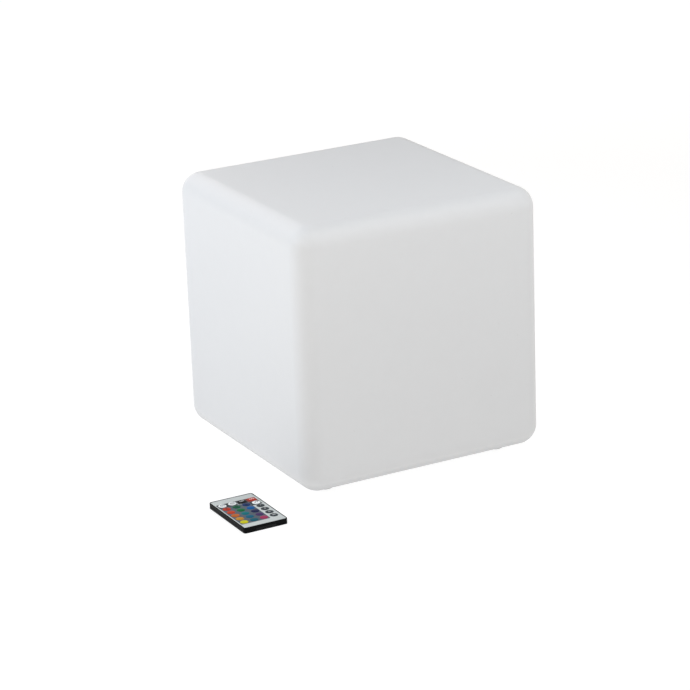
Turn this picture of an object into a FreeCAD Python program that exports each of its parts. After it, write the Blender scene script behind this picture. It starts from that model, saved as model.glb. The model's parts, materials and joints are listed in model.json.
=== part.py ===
import FreeCAD, Part
import math
import operator
import os

import Sketcher
from FreeCAD import Vector

# A cube floor lamp for gardens and porches, with its thin infra-red remote control.
# Millimetres. +Z is up, the floor is z = 0, and the origin is on the floor under the cube's centre.
# The lamp's front faces -Y. The remote control lies flat on the floor at the front left corner.

SIZES = {
    # the moulded shell
    "cube_width": 300,
    "cube_depth": 300,
    "cube_height": 300,
    "edge_radius": 23,
    "shell_wall": 3,
    # the four push-in feet
    "foot_radius": 10.5,
    "foot_height": 7,
    "foot_inset": 41,
    "foot_rounding": 2.5,
    "foot_stem_radius": 3,
    "foot_stem_length": 3,
    # the round recess under the shell, which the light module plugs into
    "recess_depth": 8,
    "recess_rounding": 1.5,
    "recess_clearance": 4,
    "mouth_clearance": 2,
    "boss_wall": 2.5,
    "boss_cap": 3,
    # the screws that hold the module, and the brass inserts they turn in
    "screw_margin": 9,
    "screw_radius": 2,
    "screw_length": 12,
    "screw_head_radius": 4,
    "screw_head_height": 2.4,
    "insert_radius": 3.5,
    "insert_length": 10,
    # the module housing: a flange with a cup on it
    "flange_margin": 7,
    "flange_thickness": 3,
    "gasket_thickness": 1.5,
    "cup_wall": 4,
    "bay_clearance": 2,
    "bay_height": 35,
    "rim_wall": 2.3,
    "rim_height": 3.6,
    "post_radius": 3.5,
    "post_clearance": 1.5,
    # the LED board and what is on it
    "board_thickness": 1.6,
    "board_screw_radius": 1.5,
    "board_screw_length": 8,
    "board_screw_head_radius": 2.75,
    "board_screw_head_height": 1.8,
    "chip_width": 5,
    "chip_height": 1.6,
    "chip_margin": 4,
    "inner_chip_ring": 22,
    "receiver_width": 7.5,
    "receiver_depth": 5.5,
    "receiver_height": 5,
    "receiver_lens_radius": 2.4,
    # the inner diffuser dome and its seal
    "dome_seal_thickness": 1,
    "dome_flange_thickness": 2,
    "dome_wall": 2,
    "dome_rise": 26,
    "dome_shoulder": 2,
    # the two battery cells and their cradle
    "cell_radius": 9.15,
    "cell_length": 65,
    "cell_spacing": 1.6,
    "cell_cap_radius": 2.8,
    "cell_cap_height": 0.8,
    "cradle_wall": 2,
    "cradle_floor": 1.5,
    "cradle_y": 20.4,
    # the control board and the larger components on it
    "control_length": 60,
    "control_width": 24,
    "control_gap": 4,
    "control_lift": 5,
    "peg_radius": 1.3,
    "peg_inset": 4,
    "driver_chip_length": 10,
    "driver_chip_width": 6,
    "driver_chip_height": 2,
    "driver_chip_x": -8,
    "driver_chip_y": -5,
    "charger_chip_length": 5,
    "charger_chip_width": 4,
    "charger_chip_height": 1.6,
    "charger_chip_x": 6,
    "charger_chip_y": 0,
    "coil_length": 7,
    "coil_width": 7,
    "coil_height": 4,
    "coil_x": 14,
    "coil_y": -6,
    "crystal_length": 5,
    "crystal_width": 3.2,
    "crystal_height": 1.2,
    "crystal_x": -18,
    "crystal_y": 6,
    "capacitor_radius": 3.5,
    "capacitor_height": 8,
    "capacitor_x": -20,
    "capacitor_y": -5,
    # the two wire connectors on it, and the leads that rise from them
    "connector_height": 6,
    "led_connector_width": 13,
    "led_connector_depth": 5,
    "led_connector_from_edge": 4,
    "cell_connector_width": 5,
    "cell_connector_depth": 8,
    "cell_connector_from_peg": 4,
    "cell_connector_y": 6,
    "lead_radius": 0.5,
    "lead_pitch": 3,
    "lead_rise": 9,
    "lead_set_back": 12,
    # the charging socket
    "panel_pitch": 32,
    "panel_gap": 5,
    "socket_wall": 0.85,
    "socket_flange_width": 1.5,
    "socket_flange_thickness": 1.2,
    "socket_mouth_radius": 3.15,
    "socket_mouth_depth": 9.5,
    "socket_back_wall": 2.2,
    "charge_pin_radius": 1,
    "charge_pin_recess": 1,
    "charge_tail_radius": 0.8,
    "charge_tail_length": 6,
    "nut_thickness": 2.5,
    "nut_width": 3,
    # the rubber cover of the charging socket
    "cover_edge": 1,
    "cover_thickness": 1.2,
    "cover_lip_height": 0.7,
    "strap_width": 5,
    "strap_thickness": 0.8,
    "strap_length": 8.5,
    "anchor_head_radius": 2.8,
    "anchor_stem_radius": 1.5,
    "anchor_barb_radius": 2.1,
    "anchor_barb_length": 2,
    # the power button and its barrel
    "button_radius": 4.5,
    "button_travel": 1.4,
    "button_collar_width": 0.5,
    "button_collar_height": 1.2,
    "button_stem_radius": 1.6,
    "button_stem_length": 3.6,
    "barrel_wall": 0.7,
    "barrel_back": 4.5,
    "barrel_flange_width": 2,
    "barrel_flange_thickness": 1.2,
    "barrel_lip": 3,
    "terminal_thickness": 0.6,
    "terminal_width": 2,
    "terminal_length": 4,
    "terminal_pitch": 6,
    # the remote control's case
    "remote_from_side": 67,
    "remote_from_front": 12,
    "remote_corner": 3,
    "case_parting_drop": 0.25,
    "case_floor": 0.8,
    "case_wall": 1.5,
    "case_chamfer": 0.3,
    "frame_wall": 3,
    "frame_rim": 1,
    "frame_rim_depth": 0.3,
    "overlay_thickness": 0.4,
    "remote_board_thickness": 0.6,
    "ledge_width": 2.3,
    # the keys and the snap domes under them
    "key_radius": 4.5,
    "key_flange_width": 0.4,
    "key_column_gap": 2,
    "key_row_gap": 0.7,
    "key_side_margin": 0.4,
    "key_end_margin": 8.85,
    "key_flange_thickness": 0.4,
    "key_proud": 0.5,
    "key_travel": 0.3,
    "dome_radius": 3,
    "dome_height": 0.3,
    # the battery tray and its coin cell
    "tray_side": 1.9,
    "tray_end": 2,
    "tray_floor": 0.3,
    "tray_rim_drop": 0.2,
    "tray_front": 1.5,
    "coin_radius": 10,
    "coin_thickness": 2.5,
    "rail_width": 1.2,
    "contact_thickness": 0.15,
    "contact_length": 8,
    "middle_contact_width": 4,
    "edge_contact_width": 2,
    "edge_contact_x": 7,
    # what hangs under the remote control's board
    "remote_chip_length": 6,
    "remote_chip_width": 5,
    "remote_chip_height": 1.2,
    "remote_chip_x": 4,
    "remote_chip_y": 12,
    "resonator_length": 7,
    "resonator_width": 3,
    "resonator_height": 1.8,
    "resonator_x": -9,
    "resonator_y": 20,
    "remote_capacitor_length": 3.2,
    "remote_capacitor_width": 1.6,
    "remote_capacitor_height": 1.2,
    "remote_capacitor_x": 6,
    "remote_capacitor_y": 24,
    "transistor_length": 2.9,
    "transistor_width": 1.6,
    "transistor_height": 1.1,
    "transistor_x": -2,
    "transistor_y": 30,
    # the remote control's infra-red LED
    "emitter_radius": 1.5,
    "emitter_proud": 0.5,
    "emitter_leg_width": 0.5,
    "emitter_leg_length": 3,
    "emitter_leg_pitch": 1.4,
    # clearances
    "slip": 0.05,
    "fine_gap": 0.15,
    "gap": 0.3,
}

SCREW_COUNT = 6
POST_COUNT = 4
OUTER_CHIP_COUNT = 12
INNER_CHIP_COUNT = 6
KEY_COLUMNS = 4
KEY_ROWS = 6

# The keys from the top row down and from left to right, as a hand holds the remote control.
KEYS = [
    ["key_brighter", "key_dimmer", "key_off", "key_on"],
    ["key_red", "key_green", "key_blue", "key_white"],
    ["key_scarlet", "key_leaf_green", "key_sky_blue", "key_effect_one"],
    ["key_orange", "key_turquoise", "key_navy", "key_effect_two"],
    ["key_amber", "key_lagoon", "key_purple", "key_effect_three"],
    ["key_yellow", "key_dark_teal", "key_magenta", "key_effect_four"],
]


class Size:
    """A length that knows its number and the formula that ties it to the sheet."""

    def __init__(self, number, formula):
        self.number = float(number)
        self.formula = formula

    def __add__(self, other):
        return combined(self, "+", other, operator.add)

    def __radd__(self, other):
        return combined(other, "+", self, operator.add)

    def __sub__(self, other):
        return combined(self, "-", other, operator.sub)

    def __rsub__(self, other):
        return combined(other, "-", self, operator.sub)

    def __mul__(self, other):
        return combined(self, "*", other, operator.mul)

    def __rmul__(self, other):
        return combined(other, "*", self, operator.mul)

    def __truediv__(self, other):
        return combined(self, "/", other, operator.truediv)

    def __neg__(self):
        return combined(0, "-", self, operator.sub)


def as_size(value):
    return value if isinstance(value, Size) else Size(value, f"{float(value):.9f}")


def combined(left, sign, right, operation):
    left = as_size(left)
    right = as_size(right)
    number = operation(left.number, right.number)
    return Size(number, f"({left.formula} {sign} {right.formula})")


def root(value):
    return Size(math.sqrt(value.number), f"sqrt({value.formula})")


def larger(first, second):
    return Size(max(first.number, second.number), f"max({first.formula}; {second.formula})")


doc = FreeCAD.newDocument("CubeLamp")
sheet = doc.addObject("Spreadsheet::Sheet", "Sizes")


class Words:
    """The sheet's words, each as a Size."""


s = Words()
for row, (word, number) in enumerate(SIZES.items(), start=1):
    sheet.set(f"A{row}", word)
    sheet.set(f"B{row}", str(number))
    sheet.setAlias(f"B{row}", word)
    setattr(s, word, Size(number, f"Sizes.{word}"))
doc.recompute()

pieces = []


# ---------------------------------------------------------------- ways to make a piece

def bind(thing, name, value):
    """Give one of a feature's sizes its formula."""
    thing.setExpression(name, as_size(value).formula)


def place(thing, x=0, y=0, z=0):
    """Put a body or a primitive somewhere, each distance by its formula."""
    for way, value in zip("xyz", (x, y, z)):
        bind(thing, f"Placement.Base.{way}", value)
    return thing


def turn(thing, axis, degrees):
    thing.Placement.Rotation = FreeCAD.Rotation(axis, degrees)
    return thing


def origin_part(body, role):
    """One of a body's own origin planes or axes."""
    return next(part for part in body.Origin.OriginFeatures if part.Role == role)


def new_body(label):
    body = doc.addObject("PartDesign::Body", label)
    body.Label = label
    return body


def draw(sketch, corners):
    """A closed run of straight lines, each corner held by its two distances from the origin."""
    points = [Vector(as_size(x).number, as_size(y).number, 0) for x, y in corners]
    count = len(points)
    for index in range(count):
        sketch.addGeometry(Part.LineSegment(points[index], points[(index + 1) % count]), False)
    for index in range(count):
        sketch.addConstraint(Sketcher.Constraint("Coincident", index, 2, (index + 1) % count, 1))
    for index, (x, y) in enumerate(corners):
        if isinstance(x, Size):
            held = sketch.addConstraint(Sketcher.Constraint("DistanceX", -1, 1, index, 1, x.number))
            sketch.setExpression(f"Constraints[{held}]", x.formula)
        else:
            sketch.addConstraint(Sketcher.Constraint("PointOnObject", index, 1, -2))
        if isinstance(y, Size):
            held = sketch.addConstraint(Sketcher.Constraint("DistanceY", -1, 1, index, 1, y.number))
            sketch.setExpression(f"Constraints[{held}]", y.formula)
        else:
            sketch.addConstraint(Sketcher.Constraint("PointOnObject", index, 1, -1))


def turned(label, outline, x=0, y=0, z=0):
    """A turned piece: an outline of (radius, height) corners spun about the vertical through x, y."""
    body = new_body(label)
    sketch = body.newObject("Sketcher::SketchObject", f"{label}_outline")
    sketch.AttachmentSupport = [(origin_part(body, "XZ_Plane"), "")]
    sketch.MapMode = "FlatFace"
    draw(sketch, outline)
    spin = body.newObject("PartDesign::Revolution", f"{label}_spin")
    spin.Profile = sketch
    spin.ReferenceAxis = (sketch, ["V_Axis"])
    spin.Angle = 360
    place(body, x, y, z)
    return body


def body_box(body, name, size, corner, takes_away=False):
    """A box that a body gains, or loses."""
    kind = "PartDesign::SubtractiveBox" if takes_away else "PartDesign::AdditiveBox"
    box = body.newObject(kind, name)
    for way, value in zip(("Length", "Width", "Height"), size):
        bind(box, way, value)
    return place(box, *corner)


def body_cylinder(body, name, radius, height, base, takes_away=False):
    """An upright cylinder that a body gains, or loses."""
    kind = "PartDesign::SubtractiveCylinder" if takes_away else "PartDesign::AdditiveCylinder"
    cylinder = body.newObject(kind, name)
    bind(cylinder, "Radius", radius)
    bind(cylinder, "Height", height)
    return place(cylinder, *base)


def round_pattern(body, feature, count):
    """Copies of a feature about the body's vertical axis."""
    pattern = body.newObject("PartDesign::PolarPattern", f"{feature.Name}_ring")
    pattern.Originals = [feature]
    pattern.Axis = (origin_part(body, "Z_Axis"), [""])
    pattern.Angle = 360
    pattern.Occurrences = count
    body.Tip = pattern
    return pattern


def rounded(body, feature, radius, chosen):
    """A fillet on the edges of a feature for which chosen(edge) is true."""
    doc.recompute()
    names = [f"Edge{n}" for n, edge in enumerate(feature.Shape.Edges, start=1) if chosen(edge)]
    fillet = body.newObject("PartDesign::Fillet", f"{feature.Name}_rounding")
    fillet.Base = (feature, names)
    bind(fillet, "Radius", radius)
    return fillet


def bevelled(body, feature, width, chosen):
    """A chamfer on the edges of a feature for which chosen(edge) is true."""
    doc.recompute()
    names = [f"Edge{n}" for n, edge in enumerate(feature.Shape.Edges, start=1) if chosen(edge)]
    chamfer = body.newObject("PartDesign::Chamfer", f"{feature.Name}_bevel")
    chamfer.Base = (feature, names)
    bind(chamfer, "Size", width)
    return chamfer


def is_upright(edge):
    low, high = edge.BoundBox.ZMin, edge.BoundBox.ZMax
    return high - low > 0.9 * edge.Length


def lies_at(height):
    """A test for edges that lie flat at one height."""
    def test(edge):
        box = edge.BoundBox
        return abs(box.ZMin - as_size(height).number) < 1e-4 and box.ZMax - box.ZMin < 1e-4
    return test


def box_piece(label, size, corner):
    """A box, from its lowest corner."""
    box = doc.addObject("Part::Box", label)
    for way, value in zip(("Length", "Width", "Height"), size):
        bind(box, way, value)
    return place(box, *corner)


def cylinder_piece(label, radius, height, base):
    """An upright cylinder, from the centre of its lower end."""
    cylinder = doc.addObject("Part::Cylinder", label)
    bind(cylinder, "Radius", radius)
    bind(cylinder, "Height", height)
    return place(cylinder, *base)


def component(name, board_x, board_y, low, hangs=False):
    """A small block on a board, or under it, from its five sizes on the sheet."""
    words = ("length", "width", "height", "x", "y")
    length, width, height, x, y = (getattr(s, f"{name}_{word}") for word in words)
    if hangs:
        low = low - height
    return box_piece(name, (length, width, height), (board_x + x - length / 2, board_y + y - width / 2, low))


def sphere_piece(label, radius, centre):
    sphere = doc.addObject("Part::Sphere", label)
    bind(sphere, "Radius", radius)
    return place(sphere, *centre)


def cut(label, base, tool):
    result = doc.addObject("Part::Cut", label)
    result.Base = base
    result.Tool = tool
    return result


def common(label, first, second):
    result = doc.addObject("Part::Common", label)
    result.Base = first
    result.Tool = second
    return result


def joined(label, parts):
    """Several shapes as one solid."""
    result = doc.addObject("Part::MultiFuse", label)
    result.Shapes = parts
    result.Refine = True
    return result


def group(label, parts):
    """Several separate solids in one node."""
    result = doc.addObject("Part::Compound", label)
    result.Links = parts
    return result


def keep(label, thing):
    """Name a finished piece, to be written to its own file."""
    thing.Label = label
    pieces.append(thing)
    return thing


# ---------------------------------------------------------------- places and heights in the lamp

# The batteries and the controls side by side on the housing's floor set how wide its cup is, and each
# ring outside the cup follows it.
cell_pitch = 2 * s.cell_radius + s.cell_spacing
trough_radius = s.cell_radius + s.gap
cradle_length = s.cell_length + 2 * s.cell_cap_height + 2 * s.gap + 2 * s.cradle_wall
cradle_width = cell_pitch + 2 * trough_radius + s.cradle_wall
control_y = s.cradle_y - cradle_width / 2 - s.control_gap - s.control_width / 2
collar_radius = s.button_radius + s.button_collar_width
chamber_radius = collar_radius + s.gap
barrel_radius = chamber_radius + s.barrel_wall
barrel_nut_corner = barrel_radius + s.nut_width
socket_radius = s.socket_mouth_radius + s.socket_wall
socket_flange_radius = socket_radius + s.socket_flange_width
panel_y = control_y - s.control_width / 2 - s.panel_gap - barrel_nut_corner
socket_x = -s.panel_pitch / 2
button_x = s.panel_pitch / 2
back_reach = s.cradle_y + cradle_width / 2
cradle_reach = root(cradle_length * cradle_length / 4 + back_reach * back_reach)
panel_reach = root(button_x * button_x + panel_y * panel_y) + barrel_nut_corner
cup_bore = larger(cradle_reach, panel_reach) + s.bay_clearance
cup_radius = cup_bore + s.cup_wall
rim_bore = cup_radius - s.rim_wall
post_ring_radius = cup_bore - s.post_clearance - s.post_radius
outer_chip_ring = post_ring_radius - s.board_screw_head_radius - s.chip_margin - s.chip_width / 2
mouth_radius = cup_radius + s.mouth_clearance
screw_ring_radius = mouth_radius + s.screw_margin
flange_radius = screw_ring_radius + s.flange_margin
recess_radius = flange_radius + s.recess_clearance
boss_radius = s.insert_radius + s.boss_wall
insert_seat_depth = s.insert_length + s.gap
boss_height = insert_seat_depth + s.boss_cap - s.shell_wall

underside = s.foot_height
recess_ceiling = underside + s.recess_depth
platform_top = recess_ceiling + s.shell_wall
flange_top = recess_ceiling - s.gasket_thickness
flange_bottom = flange_top - s.flange_thickness
board_seat = flange_top + s.bay_height
board_top = board_seat + s.board_thickness
cup_rim = board_seat + s.rim_height
dome_base = cup_rim + s.dome_seal_thickness
screw_hole_radius = s.screw_radius + s.gap / 2


def ring_points(radius, count, first_degrees=0):
    """Evenly spaced places on a circle about the lamp's vertical axis."""
    for number in range(count):
        angle = math.radians(first_degrees + 360 * number / count)
        yield number, radius * round(math.cos(angle), 9), radius * round(math.sin(angle), 9)


# ---------------------------------------------------------------- the shell and its feet

def foot_places():
    """Each foot's number and its place, going round the four corners."""
    x = s.cube_width / 2 - s.foot_inset
    y = s.cube_depth / 2 - s.foot_inset
    for number, (side, end) in enumerate(((1, 1), (-1, 1), (-1, -1), (1, -1))):
        yield number, x * side, y * end


def make_shell():
    """A rounded hollow cube. Its underside has a round recess with a mouth for the light module."""
    outside = new_body("shell_outside")
    corner = (-s.cube_width / 2, -s.cube_depth / 2, underside)
    block = body_box(outside, "shell_block", (s.cube_width, s.cube_depth, s.cube_height), corner)
    rounded(outside, block, s.edge_radius, lambda edge: True)
    body_cylinder(outside, "shell_recess", recess_radius, s.recess_depth, (0, 0, underside), True)
    doc.recompute()
    at_underside = lies_at(underside)
    across = 2 * recess_radius.number
    rounded(outside, outside.Tip, s.recess_rounding,
            lambda edge: at_underside(edge) and abs(edge.BoundBox.XLength - across) < 1e-3)
    body_cylinder(outside, "shell_mouth", mouth_radius, s.shell_wall, (0, 0, recess_ceiling), True)
    seat = body_cylinder(outside, "shell_insert_seat", s.insert_radius + s.slip / 2,
                         insert_seat_depth, (screw_ring_radius, 0, recess_ceiling), True)
    round_pattern(outside, seat, SCREW_COUNT)
    for number, x, y in foot_places():
        body_cylinder(outside, f"shell_foot_hole_{number}", s.foot_stem_radius + s.slip, s.shell_wall,
                      (x, y, underside), True)

    inside = new_body("shell_inside")
    wall = s.shell_wall
    size = (s.cube_width - 2 * wall, s.cube_depth - 2 * wall, s.cube_height - 2 * wall)
    block = body_box(inside, "hollow_block", size, (corner[0] + wall, corner[1] + wall, underside + wall))
    rounded(inside, block, s.edge_radius - wall, lambda edge: True)
    body_cylinder(inside, "hollow_platform", recess_radius + wall, s.recess_depth,
                  (0, 0, underside + wall), True)
    boss = body_cylinder(inside, "hollow_boss", boss_radius, boss_height,
                         (screw_ring_radius, 0, platform_top), True)
    round_pattern(inside, boss, SCREW_COUNT)
    keep("cube_shell", cut("cube_shell", outside, inside))


def make_feet():
    """Four round feet with stems that push into the shell's underside."""
    feet = []
    for number, x, y in foot_places():
        foot = new_body(f"foot_{number}")
        pad = body_cylinder(foot, f"foot_{number}_pad", s.foot_radius, s.foot_height, (0, 0, 0))
        rounded(foot, pad, s.foot_rounding, lies_at(0))
        body_cylinder(foot, f"foot_{number}_stem", s.foot_stem_radius, s.foot_stem_length,
                      (0, 0, s.foot_height))
        feet.append(place(foot, x, y, 0))
    keep("foot_pads", group("foot_pads", feet))


# ---------------------------------------------------------------- what holds the module

def make_insert_nuts():
    bore = s.screw_radius + s.slip
    groove = s.insert_radius - s.gap
    third = s.insert_length / 3
    outline = [
        (bore, as_size(0) + s.slip), (s.insert_radius, as_size(0) + s.slip),
        (s.insert_radius, third), (groove, third), (groove, 2 * third),
        (s.insert_radius, 2 * third), (s.insert_radius, s.insert_length), (bore, s.insert_length),
    ]
    nuts = [turned(f"insert_{number}", outline, x, y, recess_ceiling)
            for number, x, y in ring_points(screw_ring_radius, SCREW_COUNT)]
    keep("insert_nuts", group("insert_nuts", nuts))


def make_gasket():
    """A flat ring between the flange and the recess, with a hole for each screw."""
    body = new_body("base_gasket_ring")
    body_cylinder(body, "gasket_disc", flange_radius, s.gasket_thickness, (0, 0, flange_top))
    body_cylinder(body, "gasket_mouth", mouth_radius, s.gasket_thickness, (0, 0, flange_top), True)
    hole = body_cylinder(body, "gasket_hole", screw_hole_radius, s.gasket_thickness,
                         (screw_ring_radius, 0, flange_top), True)
    round_pattern(body, hole, SCREW_COUNT)
    keep("base_gasket", body)


def screw(label, shank_radius, length, head_radius, head_height, x, y, seat, head_up):
    """A pan-head screw with a cross recess. Its head bears on the seat, and its shank leaves it."""
    crown = head_height / 3
    away = 1 if head_up else -1
    outline = [
        (0, -away * length), (shank_radius * 0.6, -away * length),
        (shank_radius, -away * (length - shank_radius / 2)), (shank_radius, 0),
        (head_radius, 0), (head_radius, away * (head_height - crown)),
        (head_radius * 0.75, away * (head_height - crown / 3)), (head_radius * 0.4, away * head_height),
        (0, away * head_height),
    ]
    body = turned(label, outline)
    slot_length = head_radius
    slot_width = head_radius / 4
    slot_depth = head_height / 2
    low = head_height - slot_depth if head_up else -head_height
    for number, (along, across) in enumerate(((slot_length, slot_width), (slot_width, slot_length))):
        body_box(body, f"{label}_slot_{number}", (along, across, slot_depth),
                 (-along / 2, -across / 2, low), True)
    return place(body, x, y, seat)


def make_base_screws():
    screws = [screw(f"base_screw_{number}", s.screw_radius, s.screw_length, s.screw_head_radius,
                    s.screw_head_height, x, y, flange_bottom, False)
              for number, x, y in ring_points(screw_ring_radius, SCREW_COUNT)]
    keep("base_screws", group("base_screws", screws))


# ---------------------------------------------------------------- the module housing

cover_radius = socket_flange_radius + s.cover_edge
anchor_x = socket_x - cover_radius - s.strap_length
peg_x = s.control_length / 2 - s.peg_inset
control_bottom = flange_top + s.control_lift
control_top = control_bottom + s.board_thickness


def make_housing():
    """The flange, with a cup that holds the batteries and boards. A step at the rim seats the LED board."""
    housing = turned("housing", [
        (0, flange_bottom), (flange_radius, flange_bottom), (flange_radius, flange_top),
        (cup_radius, flange_top), (cup_radius, cup_rim), (rim_bore, cup_rim),
        (rim_bore, board_seat), (cup_bore, board_seat), (cup_bore, flange_top), (0, flange_top),
    ])
    post = body_cylinder(housing, "housing_post", s.post_radius, s.bay_height,
                         (post_ring_radius, 0, flange_top))
    round_pattern(housing, post, POST_COUNT)
    for side, name in ((-1, "left"), (1, "right")):
        base = (peg_x * side, control_y, flange_top)
        body_cylinder(housing, f"housing_stand_{name}", 2 * s.peg_radius, s.control_lift, base)
        body_cylinder(housing, f"housing_peg_{name}", s.peg_radius,
                      s.control_lift + 2 * s.board_thickness, base)
    depth = s.board_screw_length + s.gap
    pilot = body_cylinder(housing, "housing_pilot", s.board_screw_radius + s.slip, depth,
                          (post_ring_radius, 0, board_seat - depth), True)
    round_pattern(housing, pilot, POST_COUNT)
    hole = body_cylinder(housing, "housing_screw_hole", screw_hole_radius, s.flange_thickness,
                         (screw_ring_radius, 0, flange_bottom), True)
    round_pattern(housing, hole, SCREW_COUNT)
    for name, radius, x, y in (
        ("socket", socket_radius, socket_x, panel_y),
        ("button", barrel_radius, button_x, panel_y),
        ("anchor", s.anchor_stem_radius, anchor_x, panel_y),
    ):
        body_cylinder(housing, f"housing_{name}_hole", radius + s.slip, s.flange_thickness,
                      (x, y, flange_bottom), True)
    keep("module_housing", housing)


# ---------------------------------------------------------------- the LED board and the dome

def make_led_board():
    board = new_body("led_board_disc")
    body_cylinder(board, "led_disc", rim_bore - s.gap, s.board_thickness, (0, 0, board_seat))
    hole = body_cylinder(board, "led_board_hole", s.board_screw_radius + s.slip, s.board_thickness,
                         (post_ring_radius, 0, board_seat), True)
    round_pattern(board, hole, POST_COUNT)
    keep("led_board", board)


def make_led_chips():
    """Square LED packages in two rings on the board."""
    chips = new_body("led_chip_rings")
    width = s.chip_width
    for name, ring, count in (
        ("outer", outer_chip_ring, OUTER_CHIP_COUNT),
        ("inner", s.inner_chip_ring, INNER_CHIP_COUNT),
    ):
        chip = body_box(chips, f"{name}_chip", (width, width, s.chip_height),
                        (ring - width / 2, -width / 2, board_top))
        round_pattern(chips, chip, count)
    keep("led_chips", chips)


def make_board_screws():
    screws = [screw(f"board_screw_{number}", s.board_screw_radius, s.board_screw_length,
                    s.board_screw_head_radius, s.board_screw_head_height, x, y, board_top, True)
              for number, x, y in ring_points(post_ring_radius, POST_COUNT)]
    keep("board_screws", group("board_screws", screws))


def make_ir_receiver():
    """The infra-red receiver stands at the middle of the LED board, with its lens up."""
    case = box_piece("receiver_case", (s.receiver_width, s.receiver_depth, s.receiver_height),
                     (-s.receiver_width / 2, -s.receiver_depth / 2, board_top))
    lens = sphere_piece("receiver_lens", s.receiver_lens_radius, (0, 0, board_top + s.receiver_height))
    keep("ir_receiver", joined("ir_receiver", [case, lens]))


def make_dome():
    """A shallow frosted dome over the LEDs. Its flange sits on the seal, and its skirt plugs into the cup."""
    skirt_outside = rim_bore - s.fine_gap
    skirt_inside = skirt_outside - s.dome_wall
    flange_end = dome_base + s.dome_flange_thickness
    flange = turned("dome_flange", [
        (skirt_inside, board_top + s.gap), (skirt_outside, board_top + s.gap), (skirt_outside, dome_base),
        (cup_radius, dome_base), (cup_radius, flange_end), (skirt_inside, flange_end),
    ])
    spread = cup_radius - s.dome_shoulder
    sphere_radius = (spread * spread + s.dome_rise * s.dome_rise) / (2 * s.dome_rise)
    middle = dome_base + s.dome_flange_thickness / 2
    centre = (0, 0, middle + s.dome_rise - sphere_radius)
    ball = cut("dome_ball", sphere_piece("dome_outside", sphere_radius, centre),
               sphere_piece("dome_inside", sphere_radius - s.dome_wall, centre))
    cap = common("dome_cap", ball, cylinder_piece("dome_reach", spread, s.dome_rise, (0, 0, middle)))
    keep("diffuser_dome", joined("diffuser_dome", [flange, cap]))


def make_dome_seal():
    inside = rim_bore
    keep("dome_seal", turned("dome_seal_ring", [
        (inside, cup_rim), (cup_radius, cup_rim), (cup_radius, dome_base), (inside, dome_base),
    ]))


# ---------------------------------------------------------------- batteries

cell_height = flange_top + s.cradle_floor + trough_radius
CELL_SIDES = ((-1, "front"), (1, "back"))


def make_battery_cells():
    cells = []
    for side, name in CELL_SIDES:
        y = s.cradle_y + side * cell_pitch / 2
        can = cylinder_piece(f"cell_{name}_can", s.cell_radius, s.cell_length,
                             (-s.cell_length / 2, y, cell_height))
        cap = cylinder_piece(f"cell_{name}_cap", s.cell_cap_radius, s.cell_length + s.cell_cap_height,
                             (-s.cell_length / 2, y, cell_height))
        for part in (can, cap):
            turn(part, Vector(0, 1, 0), 90)
        cells.append(joined(f"cell_{name}", [can, cap]))
    keep("battery_cells", group("battery_cells", cells))


def make_cradle():
    """A moulded tray with a half-round trough under each cell."""
    block = box_piece("cradle_block", (cradle_length, cradle_width, cell_height - flange_top),
                      (-cradle_length / 2, s.cradle_y - cradle_width / 2, flange_top))
    trough_length = cradle_length - 2 * s.cradle_wall
    troughs = []
    for side, name in CELL_SIDES:
        trough = cylinder_piece(f"trough_{name}", trough_radius, trough_length,
                                (-trough_length / 2, s.cradle_y + side * cell_pitch / 2, cell_height))
        troughs.append(turn(trough, Vector(0, 1, 0), 90))
    keep("battery_cradle", cut("battery_cradle", block, joined("troughs", troughs)))


# ---------------------------------------------------------------- the control board

cell_connector_x = peg_x - s.cell_connector_from_peg
cell_connector_y = control_y + s.cell_connector_y
led_connector_y = control_y + s.control_width / 2 - s.led_connector_from_edge


def make_control_board():
    board = new_body("control_board_plate")
    body_box(board, "control_plate", (s.control_length, s.control_width, s.board_thickness),
             (-s.control_length / 2, control_y - s.control_width / 2, control_bottom))
    for side, name in ((-1, "left"), (1, "right")):
        body_cylinder(board, f"control_peg_hole_{name}", s.peg_radius + s.fine_gap, s.board_thickness,
                      (peg_x * side, control_y, control_bottom), True)
    keep("control_board", board)


def make_control_components():
    """Chips, a coil, a capacitor and two wire connectors, all standing on the control board."""
    parts = [component(name, 0, control_y, control_top)
             for name in ("driver_chip", "charger_chip", "coil", "crystal")]
    parts.append(cylinder_piece("capacitor", s.capacitor_radius, s.capacitor_height,
                                (s.capacitor_x, control_y + s.capacitor_y, control_top)))
    led_size = (s.led_connector_width, s.led_connector_depth)
    cell_size = (s.cell_connector_width, s.cell_connector_depth)
    for name, (width, depth), x, y in (
        ("led_connector", led_size, 0, led_connector_y),
        ("cell_connector", cell_size, cell_connector_x, cell_connector_y),
    ):
        parts.append(box_piece(name, (width, depth, s.connector_height),
                               (x - width / 2, y - depth / 2, control_top)))
    keep("control_components", group("control_components", parts))


# ---------------------------------------------------------------- leads

BEND_SHARE = 0.45


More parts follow.
